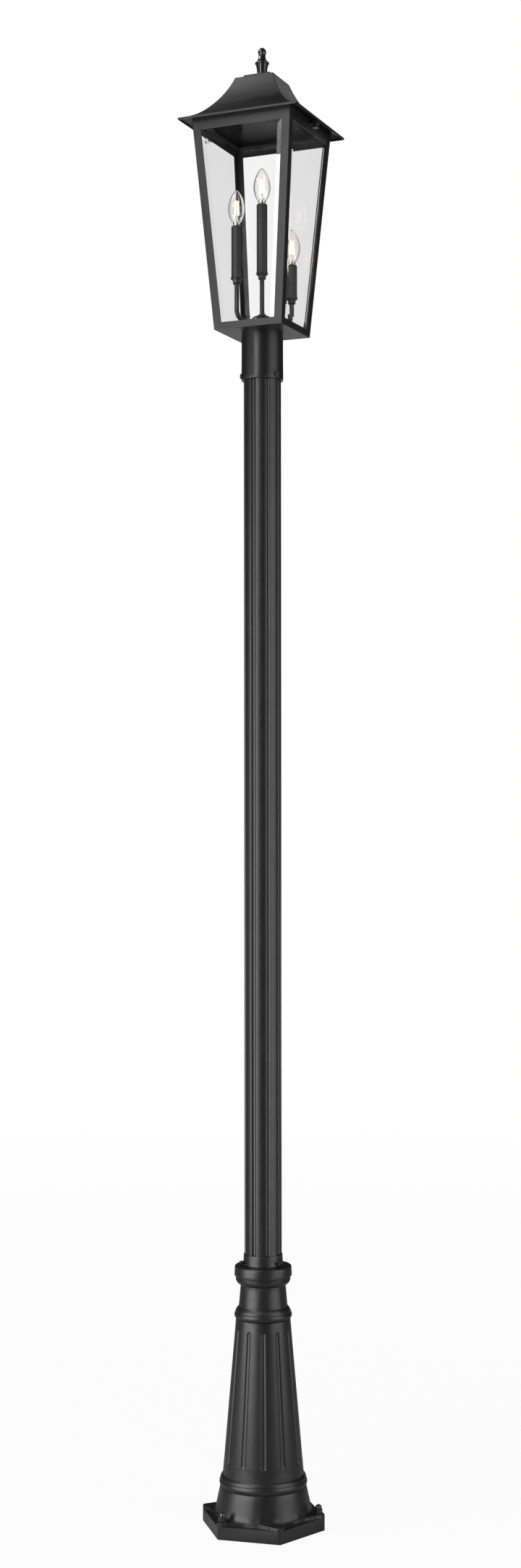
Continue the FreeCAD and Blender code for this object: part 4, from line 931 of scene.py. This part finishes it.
# %% Finial
FINIAL_HIGH = 61.0          # the outline's own units: the finial is this many high
FINIAL_BALL = 8.6
BALL_STEPS = 14
FINIAL_STEM = [(16, 0), (15.7, 1.6), (13.4, 3.5), (10.9, 6.2), (10.5, 11), (11.0, 18), (12.6, 26.4)]
FINIAL_FLANGE = [(12.6, 26.4), (14.2, 27.6), (14.7, 29.1), (14.2, 30.6), (12.6, 31.8)]
FINIAL_WAIST = [(12.6, 31.8), (10.3, 34.4), (8.4, 38.2), (7.3, 42), (6.9, 45.7)]
FINIAL_RING = [(6.9, 45.7), (7.5, 46.0), (7.6, 46.5), (7.4, 47.0), (6.9, 47.3)]

foot, height, _ = middle_of("finial")
unit = height / FINIAL_HIGH
stem = smooth_outline(FINIAL_STEM)
flange = smooth_outline(FINIAL_FLANGE, steps=4)
waist = smooth_outline(FINIAL_WAIST)
thin_ring = smooth_outline(FINIAL_RING, steps=3)
outline = [(0, 0), *scaled(stem + flange[1:] + waist[1:] + thin_ring[1:], unit)]
ball = FINIAL_BALL * unit
ball_middle = height - ball
start = math.asin((outline[-1][1] - ball_middle) / ball)
outline += [(ball * math.cos(a), ball_middle + ball * math.sin(a))
            for a in evenly(start, QUARTER_TURN, BALL_STEPS)[1:-1]]
outline += [(0, height)]
bm = bmesh.new()
spin_outline(bm, outline, segments=56)
finished("finial_turned", bm, "finial", [foot])

# %% [markdown]
# ## Where the nuts stand
# The three anchor nuts are one node in the frame. Each has its highest point in its middle, so the
# tops tell where the nuts stand, and only one of the corners that share a top is kept. Writing
# three places down would be shorter, but it would not follow a change of the base.

# %% Places of the anchor nuts
NUTS_APART = 20 * MM        # corners of two different nuts are farther apart than this
TOP_LEVEL = 0.01 * MM       # corners this close to the top are at the top

lows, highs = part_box("anchor_nuts")
nut_height = highs.z - lows.z
nut_bm = merged_copy("anchor_nuts")
nut_places = []
for vert in nut_bm.verts:
    place = Vector((vert.co.x, vert.co.y, lows.z))
    at_top = vert.co.z > highs.z - TOP_LEVEL
    if at_top and all((place - other).length > NUTS_APART for other in nut_places):
        nut_places.append(place)
nut_bm.free()
print("anchor nuts:", len(nut_places))

# %% [markdown]
# ## Domed anchor nuts
# A domed nut is a short hexagon with chamfered corners under a half ball, drawn in one forging. We
# make the hexagon from a six-sided cone, bevel its edges, and spin the dome on top.

# %% Domed anchor nuts
NUT_FLATS = 14.3 * MM
NUT_HEX = 8.0 * MM
NUT_DOME = 6.7 * MM
NUT_EDGE = 0.6 * MM
NUT_NECK = [(7.0, -0.8), (6.2, 0.3), (6.7, 1.4)]    # (radius, height above the hexagon) in mm
DOME_STEPS = 10


def cylinder(bm, radius, low, high, sides):
    """An upright cylinder, or with few sides a prism, between two heights."""
    middle = Matrix.Translation(UP * (low + high) / 2)
    return bmesh.ops.create_cone(bm, segments=sides, radius1=radius, radius2=radius,
                                 depth=high - low, cap_ends=True, matrix=middle)["verts"]


def bevel_all(bm, width, segments):
    bmesh.ops.bevel(bm, geom=list(bm.edges), offset=width, offset_type="OFFSET", affect="EDGES",
                    segments=segments, profile=0.5, material=-1)


bm = bmesh.new()
cylinder(bm, NUT_FLATS / math.sqrt(3), 0, NUT_HEX, sides=6)
bevel_all(bm, NUT_EDGE, segments=2)
dome = [(NUT_DOME * math.cos(a), nut_height - NUT_DOME + NUT_DOME * math.sin(a))
        for a in evenly(0, QUARTER_TURN, DOME_STEPS)[:-1]]
neck = smooth_outline([(r * MM, NUT_HEX + z * MM) for r, z in NUT_NECK], steps=4)
spin_outline(bm, neck + dome + [(0, nut_height)], segments=32)
finished("anchor_nuts_domed", bm, "anchor_nuts", nut_places)

# %% [markdown]
# ## Knurled thumb screws
# Each thumb screw is turned from bar: a disc to push against and a stem with straight knurling, so
# that cold fingers can turn it. Knurling is a ring of small teeth. We make a cylinder with twice as
# many sides as teeth and draw every second corner of it inwards, which is what the knurling wheel
# does.

# %% Knurled thumb screws
TEETH = 22
KNURL_RADIUS = 4.9 * MM
KNURL_DEPTH = 0.35 * MM
DISC_TOP = 2.5 * MM
KNURL_TOP = 8.4 * MM
THREAD_RADIUS = 2.5 * MM
DISC_EDGE = 0.6 * MM
KNURL_SHARP = math.radians(20)       # edges sharper than this stay crisp, the teeth among them


def thumb_screw(node):
    foot, height, half = middle_of(node)
    bm = bmesh.new()
    cylinder(bm, half, 0, DISC_TOP, sides=48)
    bevel_all(bm, DISC_EDGE, segments=3)
    for vert in cylinder(bm, KNURL_RADIUS, DISC_TOP, KNURL_TOP, sides=2 * TEETH):
        angle = math.atan2(vert.co.y, vert.co.x)
        if round(angle / math.tau * 2 * TEETH) % 2:
            vert.co.xy *= 1 - KNURL_DEPTH / vert.co.xy.length
    cylinder(bm, THREAD_RADIUS, KNURL_TOP, height, sides=32)
    finished(node + "_knurled", bm, node, [foot], sharp=KNURL_SHARP)


for side in ("left", "right"):
    thumb_screw(f"thumb_screw_{side}")

# %% [markdown]
# ## Glass of a candle lamp
# A candle lamp is a thin blown envelope on a pressed cap. The envelope is spun as one skin and gets
# its wall from Solidify, so that light is bent at both of its faces and the lamp looks hollow. A
# solid drop of glass would be simpler, but it would turn the picture behind it upside down.

# %% Lamp glass
GLASS_WALL = 0.8 * MM
GLASS_SHARP = math.radians(60)       # blown glass has no crisp edge
# shares of the half width and of the height, from the neck to the tip
ENVELOPE = [(0.44, 0.0), (0.62, 0.055), (0.86, 0.19), (1.0, 0.39), (0.9, 0.6), (0.64, 0.79),
            (0.34, 0.92), (0.15, 0.975), (0.0, 1.0)]


def lamp_envelope(name):
    node = f"lamp_glass_{name}"
    foot, height, half = middle_of(node)
    outline = smooth_outline([(r * half, z * height) for r, z in ENVELOPE], steps=5)
    bm = bmesh.new()
    spin_outline(bm, outline, segments=48)
    glass = finished(f"lamp_envelope_{name}", bm, node, [foot], sharp=GLASS_SHARP)
    wall = glass.modifiers.new("wall", "SOLIDIFY")
    wall.thickness = GLASS_WALL
    wall.offset = -1


print("envelope outline from", len(ENVELOPE), "points")

# %% [markdown]
# ## Cap of a candle lamp
# The cap is bright sheet metal, pressed to a contact at the bottom and rolled to two soft beads at
# the top, where the glass is cemented in. The beads keep their size whatever the cap's length, so
# they are measured up from where they start and the rest from the foot.

# %% Lamp cap
# (radius, height) in mm
CAP_CONTACT = [(0, 0.0), (2.4, 0.0), (3.0, 1.4), (5.4, 1.6), (5.9, 3)]
CAP_BEADS = [(7.8, 0.5), (8.2, 1.2), (7.7, 2.2), (7.6, 4.6), (8.1, 6.0), (7.9, 7.2)]
CAP_BODY_R, CAP_SHOULDER_R = 5.9, 7.4


def lamp_shell(name):
    node = f"lamp_cap_{name}"
    foot, height, _ = middle_of(node)
    skirt = height / MM - CAP_BEADS[-1][1]
    beads = smooth_outline([(r, skirt + z) for r, z in CAP_BEADS], steps=4)
    outline = [*CAP_CONTACT, (CAP_BODY_R, skirt), (CAP_SHOULDER_R, skirt), *beads]
    bm = bmesh.new()
    spin_outline(bm, scaled(outline, MM) + [(0, height)], segments=48)
    finished(f"lamp_shell_{name}", bm, node, [foot])


print("cap outline from", len(CAP_CONTACT + CAP_BEADS), "points")

# %% [markdown]
# ## Inside a candle lamp
# A glass stem carries a wire up the middle, and four coated sticks stand round it in a ring. The
# sticks lean in towards the top, and each hangs on a thin wire at both ends. A picture of a flame
# would look right from one side only, while these can be seen from anywhere.

# %% Stem, wires and sticks
STICKS = 4
STICK_RADIUS = 0.85 * MM
STICKS_LOW_R, STICKS_HIGH_R = 4.6 * MM, 3.6 * MM    # how far out the sticks stand
MAST_RADIUS = 0.4 * MM
HANGER_RADIUS = 0.35 * MM
STEM = [(4.6, 0.1), (4.2, 4), (2.4, 9), (2.0, 15)]  # (radius, height) in mm
STEM_TOP = STEM[-1][1] * MM
WIRE_ROOT = 1 * MM          # how deep a wire stands in the stem, and hangs from below the top
STICKS_OVER_STEM, STICKS_UNDER_TOP = 0.5 * MM, 2.2 * MM


def rod_between(bm, start, stop, radius, sides=12):
    """A round rod between two points."""
    along = stop - start
    turned = along.to_track_quat("Z", "Y").to_matrix().to_4x4()
    bmesh.ops.create_cone(bm, segments=sides, radius1=radius, radius2=radius, depth=along.length,
                          cap_ends=True, matrix=Matrix.Translation((start + stop) / 2) @ turned)


def lamp_inside(name):
    node = f"lamp_filaments_{name}"
    foot, height, _ = middle_of(node)
    bm = bmesh.new()
    outline = smooth_outline(scaled(STEM, MM), steps=4)
    spin_outline(bm, outline + [(0, STEM_TOP)], segments=24)
    finished(f"lamp_stem_{name}", bm, node, [foot], "lamp_glass")
    wires, sticks = bmesh.new(), bmesh.new()
    rod_between(wires, UP * (STEM_TOP - WIRE_ROOT), UP * height, MAST_RADIUS)
    for angle in evenly(0, math.tau, STICKS)[:-1]:
        out = Vector((math.cos(angle), math.sin(angle), 0))
        lower = out * STICKS_LOW_R + UP * (STEM_TOP + STICKS_OVER_STEM)
        upper = out * STICKS_HIGH_R + UP * (height - STICKS_UNDER_TOP)
        rod_between(sticks, lower, upper, STICK_RADIUS)
        rod_between(wires, UP * STEM_TOP, lower, HANGER_RADIUS, sides=8)
        rod_between(wires, UP * (height - WIRE_ROOT), upper, HANGER_RADIUS, sides=8)
    finished(f"lamp_wires_{name}", wires, node, [foot], "lamp_metal")
    finished(f"lamp_sticks_{name}", sticks, node, [foot], "filament")


for name in ("centre", "left", "right"):
    lamp_envelope(name)
    lamp_shell(name)
    lamp_inside(name)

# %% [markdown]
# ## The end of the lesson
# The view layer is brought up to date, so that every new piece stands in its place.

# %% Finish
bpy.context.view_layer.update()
